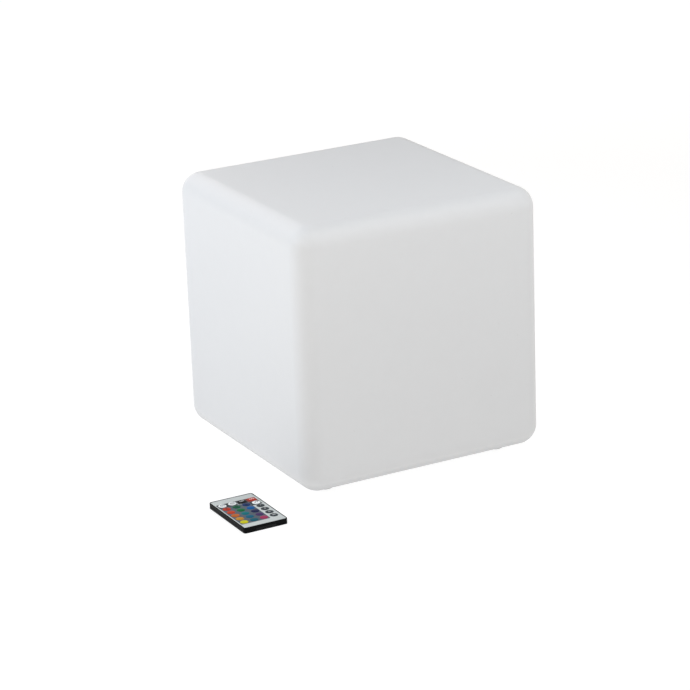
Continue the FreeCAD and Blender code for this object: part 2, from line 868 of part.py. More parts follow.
def lead(label, route, radius):
    """A wire along straight runs joined by arcs as large as the two runs at each corner allow."""
    points = [Vector(*(as_size(value).number for value in point)) for point in route]
    edges = []
    start = points[0]
    for before, corner, after in zip(points, points[1:], points[2:]):
        inward = (before - corner).normalize()
        outward = (after - corner).normalize()
        half_turn = (math.pi - inward.getAngle(outward)) / 2
        reach = BEND_SHARE * min((before - corner).Length, (after - corner).Length)
        bend = reach / math.tan(half_turn)
        middle = (inward + outward).normalize()
        arc_start = corner + inward * reach
        arc_end = corner + outward * reach
        arc_middle = corner + middle * (bend / math.cos(half_turn) - bend)
        edges.append(Part.LineSegment(start, arc_start).toShape())
        edges.append(Part.Arc(arc_start, arc_middle, arc_end).toShape())
        start = arc_end
        print(f"{label}: bend radius {bend:.1f} mm")
    edges.append(Part.LineSegment(start, points[-1]).toShape())
    path = Part.Wire(edges)
    end = Part.Wire([Part.Circle(points[0], points[1] - points[0], radius.number).toShape()])
    tube = Part.Wire(path).makePipeShell([end], True, False)
    expected = math.pi * radius.number ** 2 * path.Length
    print(f"{label}: length {path.Length:.1f} mm, volume {tube.Volume:.2f} of {expected:.2f} mm3")
    wire = doc.addObject("Part::Feature", label)
    wire.Shape = tube
    return wire


def make_leads():
    """Four wires rise from the control board to the LED board, and two come from the cells."""
    connector_top = control_top + s.connector_height
    turning_y = led_connector_y - s.lead_set_back
    led_leads = []
    for number in range(4):
        x = (number - 1.5) * s.lead_pitch
        led_leads.append(lead(f"led_lead_{number}", [
            (x, led_connector_y, connector_top),
            (x, led_connector_y, connector_top + s.lead_rise),
            (x, turning_y, board_seat - s.lead_rise),
            (x, turning_y, board_seat),
        ], s.lead_radius))
    keep("led_leads", group("led_leads", led_leads))

    cell_end = s.cell_length / 2
    front_y = s.cradle_y - cell_pitch / 2
    back_y = s.cradle_y + cell_pitch / 2
    terminal_height = cell_height + s.cell_radius * 0.6
    loop_height = connector_top + s.lead_rise
    front_plug_y = cell_connector_y + s.cell_connector_depth / 4
    back_plug_y = cell_connector_y - s.cell_connector_depth / 4
    front_lead = lead("front_cell_lead", [
        (cell_end, front_y, terminal_height),
        (cell_end + 8, front_y, terminal_height),
        (cell_end + 8.5, front_plug_y, loop_height),
        (cell_connector_x, front_plug_y, loop_height),
        (cell_connector_x, front_plug_y, connector_top),
    ], s.lead_radius)
    back_lead = lead("back_cell_lead", [
        (cell_end, back_y, terminal_height),
        (cell_end + 9, back_y, terminal_height),
        (cell_end + 13, front_y - 4, terminal_height + 3),
        (cell_end + 10, back_plug_y - 2, loop_height + 3),
        (cell_connector_x, back_plug_y, loop_height + 3),
        (cell_connector_x, back_plug_y, connector_top),
    ], s.lead_radius)
    keep("battery_leads", group("battery_leads", [front_lead, back_lead]))


# ---------------------------------------------------------------- the charging socket

socket_face = flange_bottom - s.socket_flange_thickness
mouth_end = socket_face + s.socket_mouth_depth


def hexagonal_nut(label, corner_radius, bore_radius, x, y):
    """A nut that clamps a barrel from inside the housing."""
    prism = doc.addObject("Part::Prism", f"{label}_blank")
    prism.Polygon = 6
    bind(prism, "Circumradius", corner_radius)
    bind(prism, "Height", s.nut_thickness)
    place(prism, x, y, flange_top)
    bore = cylinder_piece(f"{label}_bore", bore_radius, s.nut_thickness, (x, y, flange_top))
    keep(label, cut(label, prism, bore))


def make_socket():
    """A round power socket through the housing's floor. Its centre pin is set back from the mouth."""
    back_end = mouth_end + s.socket_back_wall
    tail_hole = s.charge_tail_radius + s.slip
    keep("charge_jack", turned("charge_jack_body", [
        (s.socket_mouth_radius, socket_face), (socket_flange_radius, socket_face),
        (socket_flange_radius, flange_bottom), (socket_radius, flange_bottom),
        (socket_radius, back_end), (tail_hole, back_end),
        (tail_hole, mouth_end), (s.socket_mouth_radius, mouth_end),
    ], socket_x, panel_y))
    pin_tip = socket_face + s.charge_pin_recess
    keep("charge_pin", turned("charge_pin_body", [
        (0, pin_tip), (s.charge_pin_radius - s.gap, pin_tip), (s.charge_pin_radius, pin_tip + s.gap),
        (s.charge_pin_radius, mouth_end), (s.charge_tail_radius, mouth_end),
        (s.charge_tail_radius, mouth_end + s.charge_tail_length), (0, mouth_end + s.charge_tail_length),
    ], socket_x, panel_y))
    hexagonal_nut("jack_nut", socket_radius + s.nut_width, socket_radius + s.slip, socket_x, panel_y)


def make_socket_cover():
    """A rubber flap with a lip that plugs the socket, on a strap that bends beside its anchor."""
    top = socket_face - s.fine_gap
    lip_radius = s.socket_mouth_radius - s.gap
    disc = turned("cover_disc", [
        (0, top - s.cover_thickness), (cover_radius - s.gap, top - s.cover_thickness),
        (cover_radius, top - s.cover_thickness + s.gap), (cover_radius, top),
        (lip_radius, top), (lip_radius - s.fine_gap, top + s.cover_lip_height),
        (0, top + s.cover_lip_height),
    ], socket_x, panel_y)
    strap_end = anchor_x + s.anchor_head_radius + s.strap_thickness * 0.75
    strap_low = top - (s.cover_thickness + s.strap_thickness) / 2
    strap = box_piece("cover_strap", (socket_x - strap_end, s.strap_width, s.strap_thickness),
                      (strap_end, panel_y - s.strap_width / 2, strap_low))
    keep("socket_cover", joined("socket_cover", [disc, strap]))
    keep("cover_anchor", turned("cover_anchor_body", [
        (0, strap_low), (s.anchor_head_radius, strap_low), (s.anchor_head_radius, flange_bottom),
        (s.anchor_stem_radius, flange_bottom), (s.anchor_stem_radius, flange_top + s.gap),
        (s.anchor_barb_radius, flange_top + s.gap),
        (s.anchor_stem_radius * 0.6, flange_top + s.anchor_barb_length),
        (0, flange_top + s.anchor_barb_length),
    ], anchor_x, panel_y))


# ---------------------------------------------------------------- the power button

def make_power_switch():
    """A push button in a threaded barrel. Its collar stops on the barrel's lip and keeps it in."""
    face = flange_bottom - s.barrel_flange_thickness
    chamber_floor = face + s.barrel_lip
    collar_low = chamber_floor + s.fine_gap
    collar_high = collar_low + s.button_collar_height
    stem_top = collar_high + s.button_stem_length
    chamber_ceiling = stem_top + s.button_travel + s.gap
    barrel_end = chamber_ceiling + s.barrel_back
    barrel_flange_radius = barrel_radius + s.barrel_flange_width
    barrel = turned("switch_barrel", [
        (s.button_radius + s.fine_gap, face), (barrel_flange_radius - s.gap, face),
        (barrel_flange_radius, face + s.gap), (barrel_flange_radius, flange_bottom),
        (barrel_radius, flange_bottom), (barrel_radius, barrel_end), (0, barrel_end),
        (0, chamber_ceiling), (chamber_radius, chamber_ceiling), (chamber_radius, chamber_floor),
        (s.button_radius + s.fine_gap, chamber_floor),
    ])
    for side, name in ((-1, "left"), (1, "right")):
        body_box(barrel, f"switch_terminal_{name}",
                 (s.terminal_thickness, s.terminal_width, s.terminal_length + s.gap),
                 (s.terminal_pitch / 2 * side - s.terminal_thickness / 2, -s.terminal_width / 2,
                  barrel_end - s.gap))
    keep("switch_body", place(barrel, button_x, panel_y, 0))
    low = face - s.button_travel
    keep("power_button", turned("power_button_body", [
        (0, low), (s.button_radius * 0.6, low), (s.button_radius - s.fine_gap, low + s.gap),
        (s.button_radius, low + 2 * s.gap), (s.button_radius, collar_low),
        (collar_radius, collar_low), (collar_radius, collar_high),
        (s.button_stem_radius, collar_high), (s.button_stem_radius, stem_top), (0, stem_top),
    ], button_x, panel_y))
    hexagonal_nut("switch_nut", barrel_nut_corner, barrel_radius + s.slip, button_x, panel_y)


# ---------------------------------------------------------------- the remote control

# Its pieces lie on each other like cards, and the keys and the coin cell set how wide and how thick it is.
remote_x = -s.cube_width / 2 - s.remote_from_side
remote_y = s.remote_from_front - s.cube_depth / 2
key_flange_radius = s.key_radius + s.key_flange_width
key_pitch_x = 2 * key_flange_radius + s.key_column_gap
key_pitch_y = 2 * key_flange_radius + s.key_row_gap
remote_width = (KEY_COLUMNS - 1) * key_pitch_x + 2 * (key_flange_radius + s.key_side_margin + s.frame_wall)
remote_length = (KEY_ROWS - 1) * key_pitch_y + 2 * (key_flange_radius + s.key_end_margin + s.frame_wall)
half_length = remote_length / 2
tray_width = 2 * (s.coin_radius + s.tray_side)
tray_length = s.tray_front + 2 * (s.coin_radius + s.tray_end)
tray_slot_half = tray_width / 2 + s.fine_gap
tray_low = s.case_floor + s.fine_gap
coin_low = tray_low + s.tray_floor
coin_top = coin_low + s.coin_thickness
coin_y = s.tray_front + s.tray_end + s.coin_radius - half_length
tray_height = s.tray_floor + s.coin_thickness - s.tray_rim_drop
case_height = coin_top - s.case_parting_drop
remote_board_height = coin_top + s.fine_gap + s.contact_thickness + s.slip
remote_board_top = remote_board_height + s.remote_board_thickness
key_flange_low = remote_board_top + s.dome_height + s.key_travel + s.slip
key_flange_high = key_flange_low + s.key_flange_thickness
overlay_bottom = key_flange_high + s.fine_gap
overlay_top = overlay_bottom + s.overlay_thickness
remote_height = overlay_top + s.frame_rim_depth
window_width = remote_width - 2 * s.frame_wall
window_length = remote_length - 2 * s.frame_wall


def rounded_plate(body, name, width, length, low, thickness, corner_radius):
    """A flat plate with round corners, centred on the remote control."""
    plate = body_box(body, name, (width, length, thickness), (-width / 2, -length / 2, low))
    return rounded(body, plate, corner_radius, is_upright)


def on_remote(body):
    return place(body, remote_x, remote_y, 0)


def make_bottom_case():
    """A shallow tray with ledges for the board and rails for the battery tray."""
    case = new_body("bottom_case")
    rounded_plate(case, "case_block", remote_width, remote_length, 0, case_height, s.remote_corner)
    bevelled(case, case.Tip, s.case_chamfer, lies_at(case_height))
    bevelled(case, case.Tip, s.case_chamfer, lies_at(0))
    hollow_width = remote_width - 2 * s.case_wall
    hollow_length = remote_length - 2 * s.case_wall
    hollow_height = case_height - s.case_floor
    body_box(case, "case_hollow", (hollow_width, hollow_length, hollow_height),
             (-hollow_width / 2, -hollow_length / 2, s.case_floor), True)
    ledge_height = remote_board_height - s.case_floor
    ledge_outside = window_width / 2 - s.fine_gap
    ledge_length = window_length - 2 * s.gap
    for side, name in ((-1, "left"), (1, "right")):
        ledge_x = ledge_outside * side if side < 0 else ledge_outside - s.ledge_width
        body_box(case, f"case_ledge_{name}", (s.ledge_width, ledge_length, ledge_height),
                 (ledge_x, -ledge_length / 2, s.case_floor))
        rail_x = tray_slot_half if side > 0 else -tray_slot_half - s.rail_width
        body_box(case, f"case_rail_{name}", (s.rail_width, tray_length, hollow_height),
                 (rail_x, s.case_wall - half_length, s.case_floor))
    body_box(case, "case_tray_slot", (2 * tray_slot_half, s.case_wall, hollow_height),
             (-tray_slot_half, -half_length, s.case_floor), True)
    eye = body_cylinder(case, "case_emitter_notch", s.emitter_radius + s.fine_gap, s.case_wall,
                        (0, half_length - s.case_wall, case_height), True)
    turn(eye, Vector(1, 0, 0), -90)
    keep("remote_bottom_case", on_remote(case))


def make_top_frame():
    """The frame that closes the case. It has a rim round the printed overlay and a window for the keys."""
    frame = new_body("top_frame")
    rounded_plate(frame, "frame_block", remote_width, remote_length, case_height,
                  remote_height - case_height, s.remote_corner)
    bevelled(frame, frame.Tip, s.case_chamfer, lies_at(case_height))
    bevelled(frame, frame.Tip, s.case_chamfer, lies_at(remote_height))
    seat_width = remote_width - 2 * s.frame_rim
    seat_length = remote_length - 2 * s.frame_rim
    body_box(frame, "frame_seat", (seat_width, seat_length, remote_height - overlay_bottom),
             (-seat_width / 2, -seat_length / 2, overlay_bottom), True)
    body_box(frame, "frame_window", (window_width, window_length, overlay_bottom - case_height),
             (-window_width / 2, -window_length / 2, case_height), True)
    body_box(frame, "frame_tray_slot",
             (2 * tray_slot_half, s.frame_wall, coin_top + s.fine_gap - case_height),
             (-tray_slot_half, -half_length, case_height), True)
    eye = body_cylinder(frame, "frame_emitter_notch", s.emitter_radius + s.fine_gap, s.frame_wall,
                        (0, half_length - s.frame_wall, case_height), True)
    turn(eye, Vector(1, 0, 0), -90)
    keep("remote_top_frame", on_remote(frame))


def key_places():
    """Each key's name and its place on the remote control."""
    for row, names in enumerate(KEYS):
        for column, name in enumerate(names):
            x = (column - (KEY_COLUMNS - 1) / 2) * key_pitch_x
            y = ((KEY_ROWS - 1) / 2 - row) * key_pitch_y
            yield name, x, y


def make_overlay():
    """The printed film over the face, with a hole for each key."""
    overlay = new_body("overlay_film")
    width = remote_width - 2 * s.frame_rim - 2 * s.fine_gap
    length = remote_length - 2 * s.frame_rim - 2 * s.fine_gap
    rounded_plate(overlay, "overlay_plate", width, length, overlay_bottom, s.overlay_thickness,
                  s.remote_corner - s.frame_rim)
    x = -(KEY_COLUMNS - 1) / 2 * key_pitch_x
    y = -(KEY_ROWS - 1) / 2 * key_pitch_y
    hole = body_cylinder(overlay, "overlay_hole", s.key_radius + s.fine_gap, s.overlay_thickness,
                         (x, y, overlay_bottom), True)
    grid = overlay.newObject("PartDesign::MultiTransform", "overlay_holes")
    grid.Originals = [hole]
    steps = []
    for axis, count, pitch in (("X_Axis", KEY_COLUMNS, key_pitch_x), ("Y_Axis", KEY_ROWS, key_pitch_y)):
        step = overlay.newObject("PartDesign::LinearPattern", f"overlay_{axis[0].lower()}_step")
        step.Direction = (origin_part(overlay, axis), [""])
        step.Occurrences = count
        bind(step, "Length", pitch * (count - 1))
        steps.append(step)
    grid.Transformations = steps
    overlay.Tip = grid
    keep("remote_overlay", on_remote(overlay))


def make_remote_board():
    board = new_body("remote_board_plate")
    rounded_plate(board, "remote_board_blank", window_width - 2 * s.gap, window_length - 2 * s.gap,
                  remote_board_height, s.remote_board_thickness, s.gap)
    keep("remote_board", on_remote(board))


def make_snap_domes():
    """A thin snap dome on the board under each key."""
    domes = []
    for name, x, y in key_places():
        dome = doc.addObject("Part::Cone", f"dome_{name}")
        bind(dome, "Radius1", s.dome_radius)
        bind(dome, "Radius2", s.dome_radius * 0.6)
        bind(dome, "Height", s.dome_height)
        domes.append(place(dome, remote_x + x, remote_y + y, remote_board_top))
    keep("remote_domes", group("remote_domes", domes))


def make_keys():
    """Round keys. Each has a crowned cap through the overlay and a flange under it."""
    crown = overlay_top + s.key_proud
    for name, x, y in key_places():
        keep(name, turned(f"{name}_cap", [
            (0, key_flange_low), (key_flange_radius, key_flange_low), (key_flange_radius, key_flange_high),
            (s.key_radius, key_flange_high), (s.key_radius, crown - s.key_proud * 0.6),
            (s.key_radius * 0.93, crown - s.key_proud * 0.25), (s.key_radius * 0.75, crown), (0, crown),
        ], remote_x + x, remote_y + y))


def make_remote_components():
    """The chip, resonator and capacitor hang under the board, clear of the battery tray."""
    parts = [component(name, remote_x, remote_y, remote_board_height, hangs=True)
             for name in ("remote_chip", "resonator", "remote_capacitor", "transistor")]
    keep("remote_components", group("remote_components", parts))


def make_remote_emitter():
    """The infra-red LED looks out through the far end wall, on two legs from the board."""
    base_y = half_length - s.frame_wall + s.fine_gap
    tip_y = half_length + s.emitter_proud - s.emitter_radius
    barrel = cylinder_piece("emitter_barrel", s.emitter_radius, tip_y - base_y,
                            (remote_x, remote_y + base_y, case_height))
    turn(barrel, Vector(1, 0, 0), -90)
    lens = sphere_piece("emitter_lens", s.emitter_radius, (remote_x, remote_y + tip_y, case_height))
    leg_width = s.emitter_leg_width
    parts = [barrel, lens]
    for side, name in ((-1, "left"), (1, "right")):
        parts.append(box_piece(f"emitter_leg_{name}", (leg_width, s.emitter_leg_length, leg_width),
                               (remote_x + s.emitter_leg_pitch / 2 * side - leg_width / 2,
                                remote_y + base_y + s.gap - s.emitter_leg_length,
                                remote_board_height - leg_width)))
    keep("remote_ir_led", joined("remote_ir_led", parts))


def make_battery_tray():
    """A drawer with a round pocket for the coin cell, and a front that closes the end of the case."""
    tray = new_body("tray_body")
    width = tray_width
    body_box(tray, "tray_plate", (width, tray_length, tray_height), (-width / 2, -half_length, tray_low))
    front_height = case_height - tray_low
    body_box(tray, "tray_front_wall", (width, s.tray_front, front_height),
             (-width / 2, -half_length, tray_low))
    body_cylinder(tray, "tray_pocket", s.coin_radius + s.fine_gap, front_height, (0, coin_y, coin_low), True)
    body_box(tray, "tray_nail_groove", (width / 3, s.tray_front / 3, front_height / 3),
             (-width / 6, -half_length, tray_low + front_height / 3), True)
    keep("battery_tray", on_remote(tray))
    keep("coin_cell", turned("coin_cell_body", [
        (0, coin_low), (s.coin_radius - s.gap, coin_low), (s.coin_radius, coin_low + s.gap),
        (s.coin_radius, coin_top - s.gap), (s.coin_radius - s.gap, coin_top), (0, coin_top),
    ], remote_x, remote_y + coin_y))


def make_cell_contacts():
    """Two sprung strips under the board, just clear of the coin cell's top."""
    parts = []
    for name, width, x in (
        ("middle", s.middle_contact_width, 0),
        ("edge", s.edge_contact_width, s.edge_contact_x),
    ):
        parts.append(box_piece(f"contact_{name}", (width, s.contact_length, s.contact_thickness),
                               (remote_x + x - width / 2, remote_y + coin_y - s.contact_length / 2,
                                remote_board_height - s.contact_thickness)))
    keep("cell_contacts", group("cell_contacts", parts))


# ---------------------------------------------------------------- the whole lamp

make_shell()
make_feet()
make_insert_nuts()
make_gasket()
make_base_screws()
make_housing()
make_led_board()
make_led_chips()
make_board_screws()
make_ir_receiver()
make_dome()
make_dome_seal()
make_battery_cells()
make_cradle()
make_control_board()
make_control_components()
make_leads()
make_socket()
make_socket_cover()
make_power_switch()
make_bottom_case()
make_top_frame()
make_overlay()
make_remote_board()
make_snap_domes()
make_keys()
make_remote_components()
make_remote_emitter()
make_battery_tray()
make_cell_contacts()
doc.recompute()

for thing in doc.Objects:
    if "Invalid" in thing.State or "Error" in thing.State:
        raise RuntimeError(f"{thing.Label} failed: {thing.State}")
for piece in pieces:
    shape = piece.Shape
    if shape.isNull() or not shape.isValid() or not shape.Solids:
        raise RuntimeError(f"{piece.Label} has no valid shape")

os.makedirs("parts", exist_ok=True)
for piece in pieces:
    piece.Shape.exportStep(f"parts/{piece.Label}.step")
    print(f"{piece.Label}: {len(piece.Shape.Solids)} solids, {piece.Shape.Volume:.2f} mm3")
print(f"{len(pieces)} nodes")
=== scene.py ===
# %% [markdown]
# # A milky cube lamp and its remote control
#
# This lesson dresses a packed CAD model of a garden cube lamp for a studio picture. The CAD model already
# has every part at its real size. Here each part gets the surface that an eye would see, made with bmesh
# operators and procedural shaders. Everything is in metres, in the CAD model's own frame: the floor is
# z = 0, the lamp stands over the origin, and its front faces -Y.

# %% Load the CAD model as a fixed frame
import json
import math

import bmesh
import bpy
from mathutils import Euler, Matrix, Vector


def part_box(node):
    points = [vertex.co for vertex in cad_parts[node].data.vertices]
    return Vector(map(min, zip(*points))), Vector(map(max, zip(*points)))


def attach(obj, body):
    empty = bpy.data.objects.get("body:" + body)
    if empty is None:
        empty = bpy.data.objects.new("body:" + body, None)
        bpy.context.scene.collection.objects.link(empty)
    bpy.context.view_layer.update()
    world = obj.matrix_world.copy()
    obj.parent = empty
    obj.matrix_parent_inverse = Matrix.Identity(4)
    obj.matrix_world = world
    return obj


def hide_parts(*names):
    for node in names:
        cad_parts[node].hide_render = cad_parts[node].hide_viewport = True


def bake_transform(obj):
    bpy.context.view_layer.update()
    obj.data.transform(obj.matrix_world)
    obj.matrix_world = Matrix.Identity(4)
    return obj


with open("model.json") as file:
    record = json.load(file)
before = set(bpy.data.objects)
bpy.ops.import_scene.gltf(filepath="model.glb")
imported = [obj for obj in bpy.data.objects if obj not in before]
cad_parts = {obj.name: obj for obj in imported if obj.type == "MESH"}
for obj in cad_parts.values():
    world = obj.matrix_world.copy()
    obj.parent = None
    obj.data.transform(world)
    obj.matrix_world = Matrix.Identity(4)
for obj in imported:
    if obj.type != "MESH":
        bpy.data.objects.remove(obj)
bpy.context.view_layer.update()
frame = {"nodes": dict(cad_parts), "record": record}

MM = 0.001
TINY = 1e-7
slot_of = {part["node"]: part["material_slot"] for part in frame["record"]["subparts"]}
print("slots:", len(set(slot_of.values())))

# %% [markdown]
# ## The camera
#
# The lens is long and stands well back, so the cube's upright edges lean only a little. The place and the
# turn were worked out from the cube's outline: the front face shows wide and the left face narrow, and the
# camera looks down at about 19 degrees.

# %% Camera
CAMERA_PLACE = Vector((-1.4266, -2.6619, 1.1534))
CAMERA_TURN = Euler((math.radians(70.968), math.radians(2.019), math.radians(-28.562)), "XYZ")
LENS_MM = 147.09
SENSOR_MM = 36.0

camera_data = bpy.data.cameras.new("studio_camera")
camera_data.lens = LENS_MM
camera_data.sensor_width = SENSOR_MM
camera_data.clip_start = 0.1
camera_data.clip_end = 60.0
camera = bpy.data.objects.new("studio_camera", camera_data)
camera.location = CAMERA_PLACE
camera.rotation_euler = CAMERA_TURN
bpy.context.scene.collection.objects.link(camera)
bpy.context.scene.camera = camera
print("camera is", round(CAMERA_PLACE.length, 2), "m from the origin")

# %% [markdown]
# ## Shader maths as Python
#
# A shader is a graph of nodes. Written link by link it is hard to read, so one small class wraps an output
# socket and lets Python's own operators add the Math nodes. Any other node comes from one method that sets
# the node's settings first and then its sockets.

# %% A socket with arithmetic
class Value:
    """An output socket that can be used in Python expressions."""

    def __init__(self, finish, socket):
        self.finish = finish
        self.socket = socket

    def maths(self, operation, *others):
        return self.finish.node("ShaderNodeMath", {"operation": operation}, [self, *others])

    def __add__(self, other):
        return self.maths("ADD", other)

    __radd__ = __add__

    def __sub__(self, other):
        return self.maths("SUBTRACT", other)

    def __rsub__(self, other):
        return self.finish.node("ShaderNodeMath", {"operation": "SUBTRACT"}, [other, self])

    def __mul__(self, other):
        return self.maths("MULTIPLY", other)

    __rmul__ = __mul__

    def __truediv__(self, other):
        return self.maths("DIVIDE", other)

    def __gt__(self, other):
        return self.maths("GREATER_THAN", other)

    def __lt__(self, other):
        return self.maths("LESS_THAN", other)

    def clamped(self):
        return self.finish.node("ShaderNodeClamp", {}, [self, 0.0, 1.0])

    def larger(self, other):
        return self.maths("MAXIMUM", other)

    def smaller(self, other):
        return self.maths("MINIMUM", other)

    def size(self):
        return self.maths("ABSOLUTE")

    def root(self):
        return self.maths("SQRT")


print("a value knows:", [name for name in vars(Value) if not name.startswith("_")])

# %% [markdown]
# ## One material, one object
#
# `Finish` holds a Principled shader. Numbers that stay the same all over a surface are given when it is
# made and sit on the shader's own sockets. What varies is an expression of noises and distances, painted
# on afterwards. All patterns read object coordinates, which are metres here, so a grain is as fine as it is
# on the real thing.

# %% A material that makes its own nodes
class Finish:
    """One material: a Principled shader and the nodes that feed it."""

    def __init__(self, name, **fixed):
        self.material = bpy.data.materials.new(name)
        self.material.use_nodes = True
        self.tree = self.material.node_tree
        self.shader = self.tree.nodes["Principled BSDF"]
        self.coordinates = None
        for socket, value in fixed.items():
            self.shader.inputs[socket.replace("_", " ")].default_value = value

    def feed(self, node, socket, value):
        """Set a socket to a number or colour, or link it to a Value."""
        if isinstance(value, Value):
            self.tree.links.new(value.socket, node.inputs[socket])
        elif value is not None:
            node.inputs[socket].default_value = value

    def node(self, kind, settings, sockets, output=0):
        """Add a node: settings first, then its sockets by place or by name. Returns one of its outputs."""
        node = self.tree.nodes.new(kind)
        for name, value in settings.items():
            setattr(node, name, value)
        pairs = sockets.items() if isinstance(sockets, dict) else enumerate(sockets)
        for socket, value in pairs:
            self.feed(node, socket, value)
        return Value(self, node.outputs[output])

    def place(self):
        """Object coordinates, in metres."""
        if self.coordinates is None:
            self.coordinates = self.node("ShaderNodeTexCoord", {}, {}, "Object")
        return self.coordinates

    def axes(self, centre=(0.0, 0.0, 0.0), unit=MM):
        """The three object coordinates from a centre, in millimetres or another unit of metres."""
        moved = self.node("ShaderNodeMapping", {"vector_type": "POINT"}, {
            "Vector": self.place(),
            "Location": [-value / unit for value in centre],
            "Scale": (1.0 / unit, 1.0 / unit, 1.0 / unit),
        })
        split = self.tree.nodes.new("ShaderNodeSeparateXYZ")
        self.feed(split, 0, moved)
        return [Value(self, output) for output in split.outputs]

    def noise(self, size, detail=2.0, roughness=0.5, stretch=(1.0, 1.0, 1.0)):
        """Soft noise from 0 to 1 whose features are about size metres wide."""
        place = self.place()
        if stretch != (1.0, 1.0, 1.0):
            place = self.node("ShaderNodeMapping", {}, {"Vector": place, "Scale": stretch})
        sockets = {"Vector": place, "Scale": 1.0 / size, "Detail": detail, "Roughness": roughness}
        return self.node("ShaderNodeTexNoise", {}, sockets, 0)

    def specks(self, spacing, radius):
        """1 in small round specks about spacing apart, and 0 between them."""
        sockets = {"Vector": self.place(), "Scale": 1.0 / spacing}
        nearest = self.node("ShaderNodeTexVoronoi", {}, sockets, "Distance")
        return nearest < radius / spacing

    def blend(self, factor, first, second):
        """One colour turning into another as the factor goes from 0 to 1."""
        settings = {"data_type": "RGBA", "blend_type": "MIX"}
        return self.node("ShaderNodeMix", settings, {0: factor, 6: first, 7: second}, 2)

    def paint(self, **links):
        """Feed the shader's own sockets."""
        for socket, value in links.items():
            self.feed(self.shader, socket.replace("_", " "), value)
        return self

    def bump(self, height, depth, strength=1.0):
        """Turn a height from 0 to 1 into bumps that are depth metres deep."""
        sockets = {"Strength": strength, "Distance": depth, "Height": height}
        return self.paint(Normal=self.node("ShaderNodeBump", {}, sockets))


print("a finish knows:", [name for name in vars(Finish) if not name.startswith("_")])

# %% [markdown]
# ## Colours as a screen shows them
#
# A shader wants linear light. Colours are easier to choose as the 0 to 255 values of a screen, so one
# function turns them over, and another makes a pair a little darker and lighter for a pattern.

# %% Colours
def shade(red, green, blue):
    """A colour from the 0 to 255 values that a screen shows."""
    def linear(value):
        part = max(value, 0) / 255.0
        return part / 12.92 if part <= 0.04045 else ((part + 0.055) / 1.055) ** 2.4
    return (linear(red), linear(green), linear(blue), 1.0)


def around(colour, spread):
    """The colour a little darker and a little lighter, on the screen's scale."""
    darker = [tone - spread for tone in colour]
    lighter = [tone + spread for tone in colour]
    return shade(*darker), shade(*lighter)


print("a middle grey of 119 is", round(shade(119, 119, 119)[0], 3), "in linear light")

# %% [markdown]
# ## The light table
#
# A white-on-white product picture is taken on a light table: the table glows and runs out of sight, so the
# lamp has hardly a shadow, and the table alone gives the cube's sides half their light. Under the lamp its
# glow is switched off, a painted shadow; right beside it the glow is painted a little stronger, painted
# light over the lamp's shadow there; and the farther away it is, the more it glows, so that it stays white.

# %% Table and sky
FLOOR_SIZE = 24.0
TABLE_GLOW = 0.97
NEAR_GLOW = 0.805
BESIDE_GLOW = 0.88
FAR_START = 1.2
FAR_LENGTH = 2.5
SHADED_HALF_WIDTH = 0.100
SHADED_EDGE = 0.012
BESIDE_WIDTH = 0.03
BESIDE_FADE = 0.04
TABLE_GREY = 150
SKY_STRENGTH = 0.15
WHITE = (1.0, 1.0, 1.0, 1.0)
BLACK = (0.0, 0.0, 0.0, 1.0)

view = bpy.context.scene.view_settings
view.view_transform = "Standard"
view.look = "None"

table_mesh = bmesh.new()
bmesh.ops.create_grid(table_mesh, x_segments=1, y_segments=1, size=FLOOR_SIZE / 2)
table_data = bpy.data.meshes.new("studio_floor")
table_mesh.to_mesh(table_data)
table_mesh.free()
table = bpy.data.objects.new("studio_floor", table_data)
bpy.context.scene.collection.objects.link(table)
table_finish = Finish("light_table", Roughness=0.9, Specular_IOR_Level=0.0, Emission_Strength=TABLE_GLOW)
greys = around((TABLE_GREY, TABLE_GREY, TABLE_GREY), 1)
x, y = table_finish.axes(unit=1.0)[:2]
far = (((x * x + y * y).root() - FAR_START) / FAR_LENGTH).clamped()
glow = table_finish.blend(far, (NEAR_GLOW, NEAR_GLOW, NEAR_GLOW, 1.0), WHITE)
# Painted shadow and painted light: the glow is switched off under the lamp and painted a little stronger
# right beside it.
from_lamp = x.size().larger(y.size()) - SHADED_HALF_WIDTH
beside = (1.0 - (from_lamp - BESIDE_WIDTH) / BESIDE_FADE).clamped()
glow = table_finish.blend(beside, glow, (BESIDE_GLOW, BESIDE_GLOW, BESIDE_GLOW, 1.0))
glow = table_finish.blend((from_lamp / SHADED_EDGE).clamped(), BLACK, glow)
table_finish.paint(Base_Color=table_finish.blend(table_finish.noise(0.4), *greys), Emission_Color=glow)
table_data.materials.append(table_finish.material)

sky = bpy.data.worlds.new("studio_sky")
sky.use_nodes = True
sky.node_tree.nodes["Background"].inputs["Color"].default_value = WHITE
sky.node_tree.nodes["Background"].inputs["Strength"].default_value = SKY_STRENGTH
bpy.context.scene.world = sky
print("table", FLOOR_SIZE, "m wide, sky at", SKY_STRENGTH)

# %% [markdown]
# ## Six soft lights
#
# Six square lights stand round the table, each placed by its azimuth, its height and its distance, with its
# power in watts and a faint tint. The one behind on the left makes the left face the brightest but misses
# the upright edge beside it, which so stays a little darker. The near lights fall off from top to bottom,
# which gives each face its slow gradient. A light's width grows with its distance, so all look equally soft.

# %% Soft lights
AIM = Vector((0.0, 0.0, 0.15))
LIGHT_SPREAD = 0.58


def soft_light(name, azimuth, height, distance, power, colour):
    """A square area light that faces the lamp from an azimuth and a height in degrees."""
    azimuth, height = math.radians(azimuth), math.radians(height)
    away = Vector((math.cos(azimuth) * math.cos(height), math.sin(azimuth) * math.cos(height),
                   math.sin(height)))
    data = bpy.data.lights.new(name, "AREA")
    data.shape = "SQUARE"
    data.size = distance * LIGHT_SPREAD
    data.energy = power
    data.color = colour
    light = bpy.data.objects.new(name, data)
    light.location = AIM + away * distance
    light.rotation_euler = (-away).to_track_quat("-Z", "Y").to_euler()
    light.visible_camera = False
    bpy.context.scene.collection.objects.link(light)


